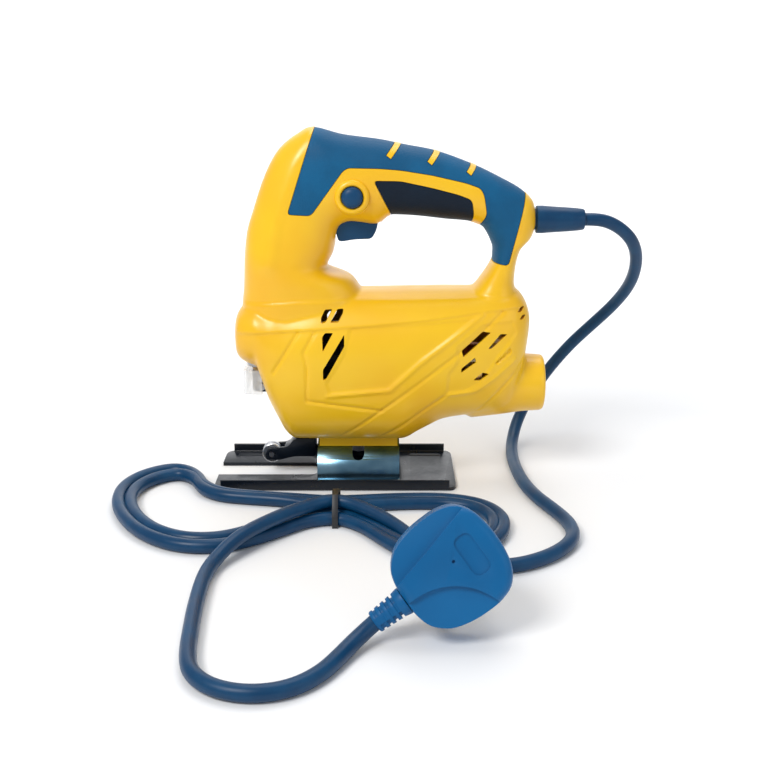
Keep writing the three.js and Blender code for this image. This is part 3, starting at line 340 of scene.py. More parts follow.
def floor_finish():
    finish = Finish("pale_floor")
    tone = finish.noise(3, 2)
    finish.set(Base_Color=finish.blend(tone, (0.86, 0.87, 0.88), (0.9, 0.9, 0.9)), Roughness=0.7)
    return finish.material


floor.data.materials.append(floor_finish())
print("finishes:", len(bpy.data.materials))


# %% [markdown]
# ## Finishes on the working parts
# The frame's own nodes keep their shapes. Each only needs the finish that its metal or plastic has.

# %% Dress the frame's nodes
NODE_FINISH = {
    "housing_left": YELLOW, "housing_right": YELLOW, "trigger": NAVY_PLASTIC, "lock_button": NAVY_PLASTIC,
    "grip_cover_left": GRIP, "grip_cover_right": GRIP, "palm_pad_left": PAD, "palm_pad_right": PAD,
    "stator_core": LAMINATION, "armature_core": LAMINATION, "field_coil_upper": COPPER,
    "field_coil_lower": COPPER, "commutator": COPPER, "cooling_fan": DARK_PLASTIC,
    "switch_body": DARK_PLASTIC, "cord_clamp": DARK_PLASTIC, "cord_tie": DARK_PLASTIC,
    "gear_case": ALLOY, "sole_plate": BLACK, "roller_bracket": BLACK, "blade_clamp": BLACK,
    "tilt_bracket": ZINC, "dust_guard": CLEAR, "plug_body": PLUG_BLUE, "plug_relief": PLUG_BLUE,
    "cord_lead": SHEATH, "cord_hank": SHEATH, "cord_tail": SHEATH, "strain_relief": SHEATH,
}
PREFIX_FINISH = {
    "brush_holder": BRASS, "plug_pin": BRASS, "carbon_brush": CARBON, "plunger_bushing": BRONZE,
    "housing_screw": SCREW, "clamp_screw": SCREW, "base_bolt": SCREW,
}
for node_name, node_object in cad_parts.items():
    finish = NODE_FINISH.get(node_name)
    for prefix, prefix_finish in PREFIX_FINISH.items():
        if node_name.startswith(prefix):
            finish = prefix_finish
    node_object.data.materials.clear()
    node_object.data.materials.append(finish or STEEL)


# %% [markdown]
# ## Small modelling helpers
# An operator acts on everything that is selected, so each step first says what it works on.

# %% Helpers
def work_on(piece):
    bpy.ops.object.select_all(action="DESELECT")
    piece.select_set(True)
    bpy.context.view_layer.objects.active = piece


def from_points(name, points, faces=(), edges=()):
    """A mesh object from points in millimetres."""
    mesh = bpy.data.meshes.new(name)
    mesh.from_pydata([tuple(value * MM for value in point) for point in points], edges, faces)
    mesh.update()
    piece = bpy.data.objects.new(name, mesh)
    scene.collection.objects.link(piece)
    return piece


def face_outwards(piece):
    work_on(piece)
    bpy.ops.object.mode_set(mode="EDIT")
    bpy.ops.mesh.select_all(action="SELECT")
    bpy.ops.mesh.remove_doubles(threshold=1e-6)
    bpy.ops.mesh.normals_make_consistent(inside=False)
    bpy.ops.object.mode_set(mode="OBJECT")


def apply_all(piece):
    work_on(piece)
    for modifier in list(piece.modifiers):
        bpy.ops.object.modifier_apply(modifier=modifier.name)


def cut(target, cutter, operation="DIFFERENCE", keep=False):
    modifier = target.modifiers.new("cut", "BOOLEAN")
    modifier.operation = operation
    modifier.object = cutter
    modifier.solver = "MANIFOLD"
    work_on(target)
    bpy.ops.object.modifier_apply(modifier=modifier.name)
    if not keep:
        bpy.data.objects.remove(cutter)


def copied(piece, name):
    twin = piece.copy()
    twin.data = piece.data.copy()
    twin.name = name
    scene.collection.objects.link(twin)
    return twin


def bevelled(piece, width, segments=2, degrees=40):
    modifier = piece.modifiers.new("bevel", "BEVEL")
    modifier.width = width * MM
    modifier.segments = segments
    modifier.limit_method = "ANGLE"
    modifier.angle_limit = math.radians(degrees)
    modifier.harden_normals = False
    apply_all(piece)


def rounded(points, radius, steps=5):
    """An outline with its corners turned into arcs."""
    done = []
    count = len(points)
    for i, point in enumerate(points):
        here = Vector(point)
        before, after = Vector(points[i - 1]) - here, Vector(points[(i + 1) % count]) - here
        reach = min(radius, before.length * 0.45, after.length * 0.45)
        start, end = here + before.normalized() * reach, here + after.normalized() * reach
        for k in range(steps + 1):
            t = k / steps
            done.append(tuple(start * (1 - t) ** 2 + here * (2 * t * (1 - t)) + end * t**2))
    return done


def loft(name, rings):
    """A closed skin over rings that all have the same number of points."""
    sides = len(rings[0])
    faces = []
    for r in range(len(rings) - 1):
        for k in range(sides):
            a, b = r * sides + k, r * sides + (k + 1) % sides
            faces.append((a, b, b + sides, a + sides))
    last = (len(rings) - 1) * sides
    faces.append(tuple(reversed(range(sides))))
    faces.append(tuple(last + k for k in range(sides)))
    piece = from_points(name, [point for ring in rings for point in ring], faces)
    face_outwards(piece)
    return piece


AXES = {"x": (1, 2, 0), "y": (0, 2, 1), "z": (0, 1, 2)}


def prism(name, outline, axis, low, high):
    """An outline drawn square to an axis, filled and then extruded along it."""
    first, second, along = AXES[axis]
    points = []
    for a, b in outline:
        point = [0, 0, 0]
        point[first], point[second], point[along] = a, b, low
        points.append(tuple(point))
    piece = from_points(name, points, [list(range(len(points)))])
    work_on(piece)
    bpy.ops.object.mode_set(mode="EDIT")
    bpy.ops.mesh.select_all(action="SELECT")
    push = [0, 0, 0]
    push[along] = (high - low) * MM
    bpy.ops.mesh.extrude_region_move(TRANSFORM_OT_translate={"value": push})
    bpy.ops.object.mode_set(mode="OBJECT")
    face_outwards(piece)
    return piece


def box(name, xs, ys, zs):
    outline = [(xs[0], zs[0]), (xs[1], zs[0]), (xs[1], zs[1]), (xs[0], zs[1])]
    return prism(name, outline, "y", *ys)


def turned(name, profile, axis, centre, steps=48):
    """A profile of (radius, distance along) spun round an axis with the Spin operator."""
    first, second, along = AXES[axis]
    points = []
    for radius, distance in profile:
        point = list(centre)
        point[first] += radius
        point[along] += distance
        points.append(tuple(point))
    edges = [(i, i + 1) for i in range(len(points) - 1)]
    piece = from_points(name, points, edges=edges)
    work_on(piece)
    bpy.ops.object.mode_set(mode="EDIT")
    bpy.ops.mesh.select_all(action="SELECT")
    spin_axis = [0, 0, 0]
    spin_axis[along] = 1
    bpy.ops.mesh.spin(
        steps=steps, angle=2 * math.pi, center=[value * MM for value in centre], axis=spin_axis,
    )
    bpy.ops.object.mode_set(mode="OBJECT")
    face_outwards(piece)
    return piece


def rod(name, axis, centre, radius, low, high, steps=32):
    return turned(name, [(0, low), (radius, low), (radius, high), (0, high)], axis, centre, steps)


def place(piece, body, finish, slot, *replaced, smooth_below=35):
    work_on(piece)
    bpy.ops.object.shade_smooth_by_angle(angle=math.radians(smooth_below))
    piece.data.materials.clear()
    piece.data.materials.append(finish)
    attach(piece, body)
    if replaced:
        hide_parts(*replaced)
    print(piece.name, "has", sum(len(p.vertices) - 2 for p in piece.data.polygons), "triangles")


# %% [markdown]
# ## The lead
# The 7 mm lead, 1.85 m long, leaves the handle through the strain relief, droops behind the tool, reaches
# the bench, and runs into a hank held by a cable tie. The hank is a long loop, pinched at its waist,
# and its turns are worked out by a loop. The tail crosses over the hank and ends in the plug.

# %% Route and sheath of the lead
CORD_DIAMETER = 7
CORD_SIDES = 16
CORD_Z = 3.6
CORD_OVER = 10.9

LEAD_POINTS = [
    (135.5, 0, 145.5), (145, 0.3, 145.3), (156, 5, 140), (165.5, 13, 130.5), (170.5, 25, 117),
    (170.5, 39, 102), (165, 52, 87.5), (155.5, 61, 74), (143, 66, 59.5), (130, 66, 43.5),
    (118, 60.5, 27.5), (109.5, 50.5, 14.5), (105, 37, 6.4), (103, 21, 3.8), (102.5, 3, 3.6),
    (103.2, -15, 3.6), (105.5, -33, 3.6), (110, -50, 3.6), (116, -66, 3.6), (120.5, -82, 3.6),
    (120, -98, 3.6), (112.5, -112, 3.6), (101, -123, 3.6), (88, -129.8, 3.6), (74.9, -131, 3.6),
]
TAIL_POINTS = [
    (-52.6, -128.6, 4.4), (-54.6, -143, 3.6), (-54.4, -160, 3.6), (-53.6, -176, 3.6), (-52.2, -193, 3.6),
    (-50.5, -209, 3.6), (-46.7, -223.3, 3.6), (-36.3, -233.7, 3.6), (-22, -237.5, 3.6),
    (-7.8, -233.7, 3.6), (2.7, -223.3, 3.6), (8.8, -212.4, 3.6), (14.8, -201.6, 4.6),
    (23.6, -192.6, 8.8), (26.2, -191.2, 10.4),
]
# the outermost turn of each lobe: the left one goes round from the waist's lower lanes to its
# upper lanes, and the right one back down
LEFT_LOBE = [
    (-12, -79), (-30, -95), (-50, -108), (-71, -108), (-90, -96), (-105, -76), (-114, -53),
    (-115, -31), (-106, -13), (-91, -5), (-79, -15), (-72, -31), (-60, -42), (-40, -47),
    (-18, -51),
]
RIGHT_LOBE = [
    (20, -52), (42, -50), (62, -51), (78, -58), (87, -73), (86, -91), (77, -108), (62, -120),
    (46, -116), (32, -101), (19, -84),
]
LEFT_MIDDLE, RIGHT_MIDDLE = (-72, -56), (56, -82)
LOWER_LANES, UPPER_LANES = [-75.4, -68], [-53.8, -61]
LOBE_SHRINK = 0.155


def lobe(points, middle, turn):
    share = 1 - LOBE_SHRINK * turn
    return [
        (middle[0] + (x - middle[0]) * share, middle[1] + (y - middle[1]) * share, CORD_Z)
        for x, y in points
    ]


def hank_points():
    points = [(60, -128, CORD_Z), (44, -122, CORD_Z), (29, -104, CORD_Z), (15, -84, CORD_Z)]
    for turn in (0, 1):
        points.append((3, LOWER_LANES[turn], CORD_Z))
        points += lobe(LEFT_LOBE, LEFT_MIDDLE, turn)
        points.append((1, UPPER_LANES[turn], CORD_Z))
        points += lobe(RIGHT_LOBE, RIGHT_MIDDLE, turn)
    # the last crossing lies on top and runs down over the lower strands into the tail
    points[-2:] = [(34, -93, 6.5), (20, -80, 9.5)]
    points += [(2, -69, CORD_OVER), (-14, -79, CORD_OVER), (-29, -95, CORD_OVER), (-43, -112, 9.2)]
    return points


def catmull_rom(points, step):
    """Evenly spaced points on the centripetal Catmull-Rom curve through a list of points."""
    given = np.array(points, dtype=float)
    ends = np.vstack([2 * given[0] - given[1], given, 2 * given[-1] - given[-2]])
    dense = []
    for p0, p1, p2, p3 in zip(ends, ends[1:], ends[2:], ends[3:]):
        t0 = 0.0
        t1 = t0 + np.linalg.norm(p1 - p0) ** 0.5
        t2 = t1 + np.linalg.norm(p2 - p1) ** 0.5
        t3 = t2 + np.linalg.norm(p3 - p2) ** 0.5
        for t in np.linspace(t1, t2, 16, endpoint=False):
            a1 = (t1 - t) / (t1 - t0) * p0 + (t - t0) / (t1 - t0) * p1
            a2 = (t2 - t) / (t2 - t1) * p1 + (t - t1) / (t2 - t1) * p2
            a3 = (t3 - t) / (t3 - t2) * p2 + (t - t2) / (t3 - t2) * p3
            b1 = (t2 - t) / (t2 - t0) * a1 + (t - t0) / (t2 - t0) * a2
            b2 = (t3 - t) / (t3 - t1) * a2 + (t - t1) / (t3 - t1) * a3
            dense.append((t2 - t) / (t2 - t1) * b1 + (t - t1) / (t2 - t1) * b2)
    dense.append(given[-1])
    dense = np.array(dense)
    run = np.concatenate([[0], np.cumsum(np.linalg.norm(np.diff(dense, axis=0), axis=1))])
    stations = np.linspace(0, run[-1], max(2, round(run[-1] / step)))
    return np.column_stack([np.interp(stations, run, dense[:, k]) for k in range(3)])


def softened(path, rounds):
    """Evens out the bends of a path, with its ends held."""
    path = path.copy()
    for _ in range(rounds):
        path[1:-1] += 0.5 * ((path[:-2] + path[2:]) / 2 - path[1:-1])
    return path


def tube(name, path, radius):
    """A closed tube along a path, its rings kept from twisting."""
    tangents = np.gradient(path, axis=0)
    tangents /= np.linalg.norm(tangents, axis=1)[:, None]
    normal = np.cross(tangents[0], (0, 0, 1))
    rings = []
    angles = np.linspace(0, 2 * math.pi, CORD_SIDES, endpoint=False)
    for centre, tangent in zip(path, tangents):
        normal = normal - tangent * np.dot(normal, tangent)
        normal /= np.linalg.norm(normal)
        binormal = np.cross(tangent, normal)
        rings.append([centre + radius * (math.cos(a) * normal + math.sin(a) * binormal) for a in angles])
    return loft(name, rings)


cord_path = softened(catmull_rom(LEAD_POINTS + hank_points() + TAIL_POINTS, 2.5), 6)
cord_run = np.linalg.norm(np.diff(cord_path, axis=0), axis=1).sum()
print("lead runs", round(cord_run), "mm")
lead = tube("mains_lead", cord_path, CORD_DIAMETER / 2)
place(lead, "housing", SHEATH, "cord_navy", "cord_lead", "cord_hank", "cord_tail", smooth_below=60)


# %% [markdown]
# ## The moulded housing
# The real housing is two glass-filled nylon shells, screwed together along the middle. Their outer
# skin is one flowing form: a deep motor body, a front column, a top handle and a dust port.
# A box-by-box build can't flow like that. Instead, sections are drawn at stations, joined by smooth
# curves into closed lofts, and a voxel remesh welds the lofts into one even skin.

# %% Sections of the body, the loop and the port
BODY_HALF_WIDTH = 31.5
UPPER_FULLNESS, LOWER_FULLNESS = 2.5, 2.4
# X, top, bottom, share of the half-width
BODY_STATIONS = np.array([
    (-54.6, 90, 74.5, 0.3), (-54, 93.5, 71.6, 0.44), (-53.2, 95, 70.6, 0.51), (-52, 97, 69, 0.57),
    (-48, 100, 66.8, 0.68), (-43, 102, 65, 0.76), (-41, 102.6, 59.5, 0.79), (-38.7, 103, 52, 0.82),
    (-36.5, 103.5, 45.4, 0.84), (-32, 104.5, 35.5, 0.88), (-27, 105.5, 26.1, 0.91),
    (-21.6, 106.2, 22.7, 0.94), (-8, 107.4, 22.7, 0.985), (12, 108, 22.7, 1), (35.6, 108.4, 22.7, 1),
    (46, 108.6, 27.5, 0.985), (53, 108.7, 31.3, 0.97), (60, 108.8, 34.6, 0.95), (73, 108.8, 36.7, 0.9),
    (86, 109.6, 37.8, 0.82), (96, 109.4, 39.5, 0.72), (101, 106.5, 50, 0.6), (104.4, 101.8, 68, 0.46),
    (106.3, 97, 82, 0.3), (107, 94, 87, 0.16),
])
# outer X and Z, inner X and Z, half-width, wall
LOOP_FULLNESS = 2.4
LOOP_STATIONS = np.array([
    (-49.5, 76, 6, 82, 22, 2.4), (-51, 96, 16, 101, 23.5, 2.4), (-49.7, 109, 10, 114.2, 23.5, 2.4),
    (-48.6, 127, -3.9, 120.5, 22.5, 2.4), (-47, 139.3, -0.4, 128.5, 21.5, 3), (-43, 152, 1.4, 136.5, 20.6, 4),
    (-37, 168.5, 3.5, 142.8, 19.8, 4.6), (-29.2, 182.5, 6.5, 144.2, 19.2, 4.6),
    (-19.4, 190.6, 9.5, 144.8, 18.9, 4.6), (-10.5, 194.6, 14, 144.3, 18.6, 4.6),
    (5.4, 190.8, 23, 143.2, 18.2, 4.6), (24.6, 188.3, 31, 148.2, 17.4, 4.6), (38, 185.6, 38.5, 148, 17, 4.6),
    (52.2, 183, 46, 147.5, 17, 4.6), (74, 175.5, 60.5, 145.9, 17, 4.6), (88, 169, 71.5, 145, 16.5, 4.6),
    (102, 161, 79.5, 142.2, 15.8, 4.6), (107.6, 154, 82.6, 138, 15.4, 4.6),
    (108.6, 145, 84.7, 133.6, 15, 4.6),
    (107, 137.5, 85.8, 130, 14.6, 4.6), (100.8, 130, 85.8, 124.5, 14.4, 4.6),
    (98.6, 121, 83.2, 119, 14.6, 4.6),
    (98, 113, 78.5, 112.2, 15.4, 4.6), (99.5, 104, 73, 104.5, 17, 4.6), (97, 90, 70, 92, 17, 4.6),
])
LOOP_HOLLOW_END = 20
PORT_Z, PORT_BORE = 54, 13
PORT_PROFILE = [
    (0, 60), (12, 60), (20, 76), (18.2, 92), (16.4, 104), (15.8, 114.6), (14.9, 116.3), (0, 116.3),
]
BODY_WALL = 2.4


def monotone(xs, ys, at):
    """A smooth curve through points that never swings past them."""
    width = np.diff(xs)
    slope = np.diff(ys) / width
    tangent = np.concatenate([[slope[0]], np.zeros(len(xs) - 2), [slope[-1]]])
    for i in range(1, len(xs) - 1):
        if slope[i - 1] * slope[i] > 0:
            tangent[i] = 2 * slope[i - 1] * slope[i] / (slope[i - 1] + slope[i])
    k = np.clip(np.searchsorted(xs, at) - 1, 0, len(width) - 1)
    t = (at - xs[k]) / width[k]
    rise = (1 + 2 * t) * (1 - t) ** 2 * ys[k] + t * (1 - t) ** 2 * width[k] * tangent[k]
    return rise + t * t * (3 - 2 * t) * ys[k + 1] + t * t * (t - 1) * width[k] * tangent[k + 1]


def stretched(stations, count):
    """More stations, spread evenly along the row."""
    along = np.arange(len(stations), dtype=float)
    at = np.linspace(0, len(stations) - 1, count)
    return np.column_stack([monotone(along, stations[:, k], at) for k in range(stations.shape[1])])


def signed_power(value, power):
    return np.sign(value) * np.abs(value) ** power


def body_ring(station, inset, sides):
    x, top, bottom, share = station
    angle = (np.arange(sides) + 0.5) / sides * 2 * math.pi
    power = np.where(np.sin(angle) < 0, 2 / LOWER_FULLNESS, 2 / UPPER_FULLNESS)
    y = (share * BODY_HALF_WIDTH - inset) * signed_power(np.cos(angle), power)
    z = (top + bottom) / 2 + ((top - bottom) / 2 - inset) * signed_power(np.sin(angle), power)
    return np.column_stack([np.full(sides, x), y, z])


def body_loft(name, inset, sides, count):
    stations = BODY_STATIONS
    if inset:
        stations = stations[(stations[:, 0] > -52.5) & (stations[:, 0] < 100)]
    rings = [body_ring(station, inset, sides) for station in stretched(stations, count)]
    return loft(name, rings)


def loop_ring(station, inset, sides):
    ox, oz, ix, iz, width = station[:5]
    angle = (np.arange(sides) + 0.5) / sides * 2 * math.pi
    centre = np.array([(ox + ix) / 2, 0, (oz + iz) / 2])
    along = np.array([ox - ix, 0, oz - iz])
    reach = np.linalg.norm(along) / 2 - inset
    along /= np.linalg.norm(along)
    power = 2 / LOOP_FULLNESS
    ring = centre + np.outer(reach * signed_power(np.sin(angle), power), along)
    ring[:, 1] += (width - inset) * signed_power(np.cos(angle), power)
    return ring


def loop_loft(name, inset, sides, count):
    return loft(name, [loop_ring(station, inset, sides) for station in stretched(LOOP_STATIONS, count)])


# %% Weld the three forms into one skin
VOXEL = 0.85
SOFTENING = 10


def joined(name, pieces):
    bpy.ops.object.select_all(action="DESELECT")
    for piece in pieces:
        piece.select_set(True)
    bpy.context.view_layer.objects.active = pieces[0]
    bpy.ops.object.join()
    pieces[0].name = name
    return pieces[0]


skin = joined("skin", [
    body_loft("body", 0, 72, 130),
    loop_loft("loop", 0, 72, 150),
    turned("port", PORT_PROFILE, "x", (0, 0, PORT_Z), 72),
])
remesh = skin.modifiers.new("weld", "REMESH")
remesh.mode = "VOXEL"
remesh.voxel_size = VOXEL * MM
soften = skin.modifiers.new("soften", "SMOOTH")
soften.factor = 0.5
soften.iterations = SOFTENING
apply_all(skin)
print("skin:", len(skin.data.polygons), "faces")


# %% [markdown]
# ## Relief on the skin
# The sides carry a raised waistband, a framed panel, long slanting grooves and a pocket round the
# rear vents. They follow the flowing skin, so they can't be cut with flat tools. Each is a line or
# an outline drawn in side view, and every point near it moves a fraction of a millimetre sideways.

# %% Lines and fields in side view
def distance_to_line(points, line):
    """How far each (X, Z) point is from a polyline."""
    best = np.full(len(points), 1e9)
    for start, end in zip(line, line[1:]):
        start, end = np.array(start, float), np.array(end, float)
        edge = end - start
        share = np.clip((points - start) @ edge / (edge @ edge), 0, 1)
        gap = np.linalg.norm(points - (start + share[:, None] * edge), axis=1)
        best = np.minimum(best, gap)
    return best


def inside(points, outline):
    """Whether each (X, Z) point lies within an outline."""
    found = np.zeros(len(points), bool)
    for (x0, z0), (x1, z1) in zip(outline, outline[1:] + outline[:1]):
        if z0 == z1:
            continue
        crosses = (points[:, 1] > z0) != (points[:, 1] > z1)
        found ^= crosses & (points[:, 0] < (x1 - x0) * (points[:, 1] - z0) / (z1 - z0) + x0)
    return found


def step_up(value, low, high):
    share = np.clip((value - low) / (high - low), 0, 1)
    return share * share * (3 - 2 * share)


def field(points, outline, edge):
    """1 well inside an outline, 0 well outside, and a soft slope of the given width between."""
    gap = distance_to_line(points, outline + outline[:1])
    return step_up(np.where(inside(points, outline), gap, -gap), -edge / 2, edge / 2)


WAIST_LINE = [(-60, 86), (-19, 89.6), (25, 93), (47, 95), (79, 98.8), (112, 101)]
WAISTBAND = WAIST_LINE + [(112, 106), (79, 106), (-19, 105), (-60, 101)]
PANEL = [(9, 91.1), (5.5, 77.7), (-4, 61.7), (-2, 56.7), (29, 59.7), (46, 75.3), (74, 95.5), (47, 93.3)]
VENT_POCKET = [
    (61, 56.1), (61.6, 66.7), (66.6, 73.3), (66, 81.3), (80, 92.7), (96, 93.3), (98.6, 87.7), (88, 74.7),
    (78.4, 60.7), (70, 56.3),
]
BLIND_VENT = [(86.7, 71.7), (95, 79.6), (95.6, 77.1), (87.7, 71.2)]
RIDGES = [
    [(-3.2, 54.8), (30.1, 58), (47, 73.4), (79.8, 97.8)],
    [(61, 54.5), (73.4, 55.8), (77.8, 57.2), (87.5, 64.2), (97.7, 73)],
]
GROOVES = [
    [(-14.3, 51.6), (25.4, 46.1), (68, 78.8), (90.7, 98.7)],
    [(25.4, 46.1), (1.6, 26.7)],
    [(24.5, 26.7), (47, 44.8), (61, 55)],
    [(-19.1, 88.5), (-32.5, 67)],
    [(-10.3, 88.5), (-15.9, 78.2), (-14.3, 71.2), (-14.6, 52.8)],
    [(103.1, 71.2), (79.1, 43.4)],
]
COLUMN_CREASE = [(-10, 197), (-20, 176), (-30, 148), (-34, 124)]


def relief(points):
    height = 0.9 * field(points, WAISTBAND, 1.6)
    height -= 0.55 * field(points, PANEL, 1.4)
    height -= 0.7 * field(points, VENT_POCKET, 1.8)
    height -= 1.3 * field(points, BLIND_VENT, 0.9)
    for line in RIDGES:
        height += 0.75 * np.exp(-((distance_to_line(points, line) / 1.1) ** 2))
    for line in GROOVES:
        height -= 0.8 * np.exp(-((distance_to_line(points, line) / 0.85) ** 2))
    height += 0.9 * np.exp(-((distance_to_line(points, COLUMN_CREASE) / 4.0) ** 2))
    return height


def read_vectors(piece, attribute):
    flat = np.empty(len(piece.data.vertices) * 3)
    piece.data.vertices.foreach_get(attribute, flat)
    return flat.reshape(-1, 3)


def read_points(piece):
    return read_vectors(piece, "co") / MM


def write_points(piece, points):
    piece.data.vertices.foreach_set("co", (points * MM).ravel())
    piece.data.update()


skin_points, skin_normals = read_points(skin), read_vectors(skin, "normal")
facing = step_up(np.abs(skin_normals[:, 1]), 0.2, 0.55)
skin_points[:, 1] += np.sign(skin_points[:, 1]) * facing * relief(skin_points[:, [0, 2]])
write_points(skin, skin_points)


# %% [markdown]
# ## Cutting the shells
# The skin is still a solid. The real wall is 2.4 mm, so a smaller loft is taken out of it, leaving
# the screw bosses and the two ribs that seat the motor. Then come the openings: vents, blade
# channel, dust port, lock button, trigger, lead and screws. The Manifold solver keeps every cut
# clean, and the two shells stop just short of the middle plane, which draws the real parting line.

# %% Outlines that are cut through
GAP = 0.3
FAR = 60
ROD_X, GUARD_TOP = -41, 64.5
TILT_FRONT, TILT_BACK, TILT_RADIUS, TILT_Z = -10.3, 35.6, 19.7, 2
MOTOR_Z = 66.9
BUTTON_X, BUTTON_Z, BUTTON_RADIUS = 10.4, 159.5, 5.6
RELIEF_Z, RELIEF_NECK = 145.5, 5.5
SCREWS = [(-22, 172, 9), (58, 165.9, 8), (92, 102, 10), (68, 42, 9), (-24, 42, 12), (-14, 128, 11)]
SCREW_HEAD, BOSS_RADIUS = 3.1, 4.2
CHANNEL_BACK, CHANNEL_TOP = -34, 64.8
VENTS = [
    [(-6.5, 93.9), (-6.5, 96.6), (-4.3, 100.9), (-0.5, 100.9), (-4, 94.4)],
    [(-1.6, 94.4), (2.2, 100.9), (5.4, 101.1), (5.1, 98.7), (2.7, 94.4)],
    [(-5.6, 79.3), (-5.9, 86.9), (-4.3, 89.2), (0, 89.2)],
    [(-5.6, 63.9), (-5.6, 69.6), (5.9, 88.5), (5.9, 82.1), (-4, 64.3)],
    [(68.4, 79.3), (79.8, 89.2), (84.2, 88.5), (69.4, 75.8)],
    [(82.6, 79.8), (89.4, 87.5), (93.2, 87.1), (84.6, 79.8)],
    [(68.4, 67.2), (68.4, 69.6), (75.6, 75.5), (76.4, 72.8)],
    [(75, 62.7), (79.8, 66.9), (83.6, 66.1), (78.8, 62.3)],
    [(98.6, 98), (101, 100.6), (103, 100.3), (100.8, 97.7)],
    [(99.8, 94.1), (101.8, 96.3), (103.6, 96), (101.8, 93.8)],
]
COVER = [
    (-9.2, 194.2), (-9.2, 215), (125, 215), (125, 168), (102.1, 160.9), (93.4, 122.9), (85.6, 123.9),
    (80, 124), (80, 140), (78.8, 142.6), (78.3, 143.9), (81.4, 149.6), (79.7, 159.8), (77.7, 163.9),
    (70.1, 166.6), (52.2, 170.7), (35.6, 173.3), (24.6, 174.2), (8.1, 174.6), (5.4, 172.8),
    (-11.3, 150.1), (-23.3, 150.8),
]
PALM_PAD = [
    (21.9, 167.7), (35.6, 167.4), (52.2, 163.9), (65.9, 160.4), (72.9, 157.7), (74.2, 150.1),
    (72.8, 140), (60, 138), (31.6, 140), (30.8, 148.5), (30.1, 151.5),
]
GRIP_THICKNESS = 2.0
RIB_WIDTH = 2.8
RIBS = [((37.2, 190), (29.4, 179.8)), ((57.8, 185.6), (50.8, 176.6)), ((78.6, 180.4), (71.4, 171.2))]


def grown(outline, distance):
    """An outline moved outwards, with mitred corners."""
    area = sum(x0 * z1 - x1 * z0 for (x0, z0), (x1, z1) in zip(outline, outline[1:] + outline[:1]))
    side = math.copysign(1, area)
    moved = []
    for i, (x, z) in enumerate(outline):
        before, after = Vector(outline[i - 1]), Vector(outline[(i + 1) % len(outline)])
        here = Vector((x, z))
        edges = [(here - before).normalized(), (after - here).normalized()]
        normals = [Vector((side * edge.y, -side * edge.x)) for edge in edges]
        mitre = max(0.5, 1 + normals[0].dot(normals[1]))
        moved.append(tuple(here + (normals[0] + normals[1]) * distance / mitre))
    return moved


def rib_outline(line, extra=0.0):
    (x0, z0), (x1, z1) = line
    along = Vector((x1 - x0, z1 - z0)).normalized()
    square = Vector((-along.y, along.x)) * (RIB_WIDTH / 2 + extra)
    top, foot = Vector((x0, z0)), Vector((x1, z1)) + along * extra
    return [tuple(top + square), tuple(foot + square), tuple(foot - square), tuple(top - square)]


def across(name, outline):
    return prism(name, outline, "y", -FAR, FAR)


def leave_bosses(room):
    """Takes the screw bosses out of a room, so that they stay in the shell."""
    for x, z, _ in SCREWS:
        cut(room, rod("boss", "y", (x, 0, z), BOSS_RADIUS, -FAR, FAR, 20))


# %% Hollow out the skin
hollow = body_loft("hollow", BODY_WALL, 40, 60)
leave_bosses(hollow)
for x0, x1, radius in ((38, 40, 23), (87, 91, 8)):
    plate = box("plate", (x0, x1), (-FAR, FAR), (30, 104))
    cut(plate, rod("seat", "x", (0, 0, MOTOR_Z), radius + GAP, x0 - 1, x1 + 1, 40))
    cut(hollow, plate)
cut(hollow, box("keep", (-70, CHANNEL_BACK + BODY_WALL), (-18, 18), (0, CHANNEL_TOP + BODY_WALL)))
loop_hollow = loft("loop_hollow", [
    loop_ring(station, station[5], 36) for station in stretched(LOOP_STATIONS[1:LOOP_HOLLOW_END], 50)
])
leave_bosses(loop_hollow)

shell = copied(skin, "shell")
cut(shell, hollow)
cut(shell, loop_hollow)
saddle = box("saddle", (TILT_FRONT + 1, TILT_BACK - 1), (-10, 10), (16, 30))
cut(shell, saddle, "UNION")
collar_profile = [
    (0, -12), (9.4, -12), (9.3, -18.4), (8.9, -19.2), (8.2, -19.9), (7.4, -20.3), (6.7, -20.3), (6.2, -20),
    (5.9, -19.5), (0, -19.5),
]
cut(shell, turned("collar", collar_profile, "y", (BUTTON_X, 0, BUTTON_Z), 64), "UNION")

# %% Cut the openings
arch = rod("arch", "x", (0, 0, TILT_Z), TILT_RADIUS + GAP, TILT_FRONT - 1, TILT_BACK + 1, 96)
cut(shell, arch)
cut(shell, box("channel", (-70, CHANNEL_BACK), (-15.6, 15.6), (0, CHANNEL_TOP)))
cut(shell, rod("boss_hole", "z", (ROD_X, 0, 0), 8.8, 50, 80, 48))
cut(shell, rod("port_bore", "x", (0, 0, PORT_Z), PORT_BORE, 92, 120, 72))
openings = [across(f"vent_{i}", rounded(outline, 0.7, 3)) for i, outline in enumerate(VENTS)]
openings.append(rod("button_hole", "y", (BUTTON_X, 0, BUTTON_Z), BUTTON_RADIUS + GAP, -FAR, 0, 48))
openings.append(rod("lead_hole", "x", (0, 0, RELIEF_Z), RELIEF_NECK + GAP, 96, 116, 48))
openings.append(rod("bolt_hole", "z", (12.6, 0, 0), 3.3, 10, 35, 32))
openings.append(box("trigger_slot", (0.6, 25.2), (-6.5, 6.5), (130, 156)))
for x, z, seat in SCREWS:
    shank = rod("shank", "y", (x, 0, z), 1.9, -9.3, seat + 1, 20)
    cut(shank, rod("well", "y", (x, 0, z), SCREW_HEAD + GAP, seat, FAR, 32), "UNION")
    openings.append(shank)
cut(shell, joined("openings", openings))
print("shell:", len(shell.data.polygons), "faces")


# %% [markdown]
# ## Soft grips
# The grips are a second, rubbery moulding that fills a 2 mm pocket in the handle. Each is cut from
# the same skin, so it flows with the shell, and lies a hair lower, so that the yellow edge catches
# the light round it. Three yellow ribs of the shell show through slots in the cover.

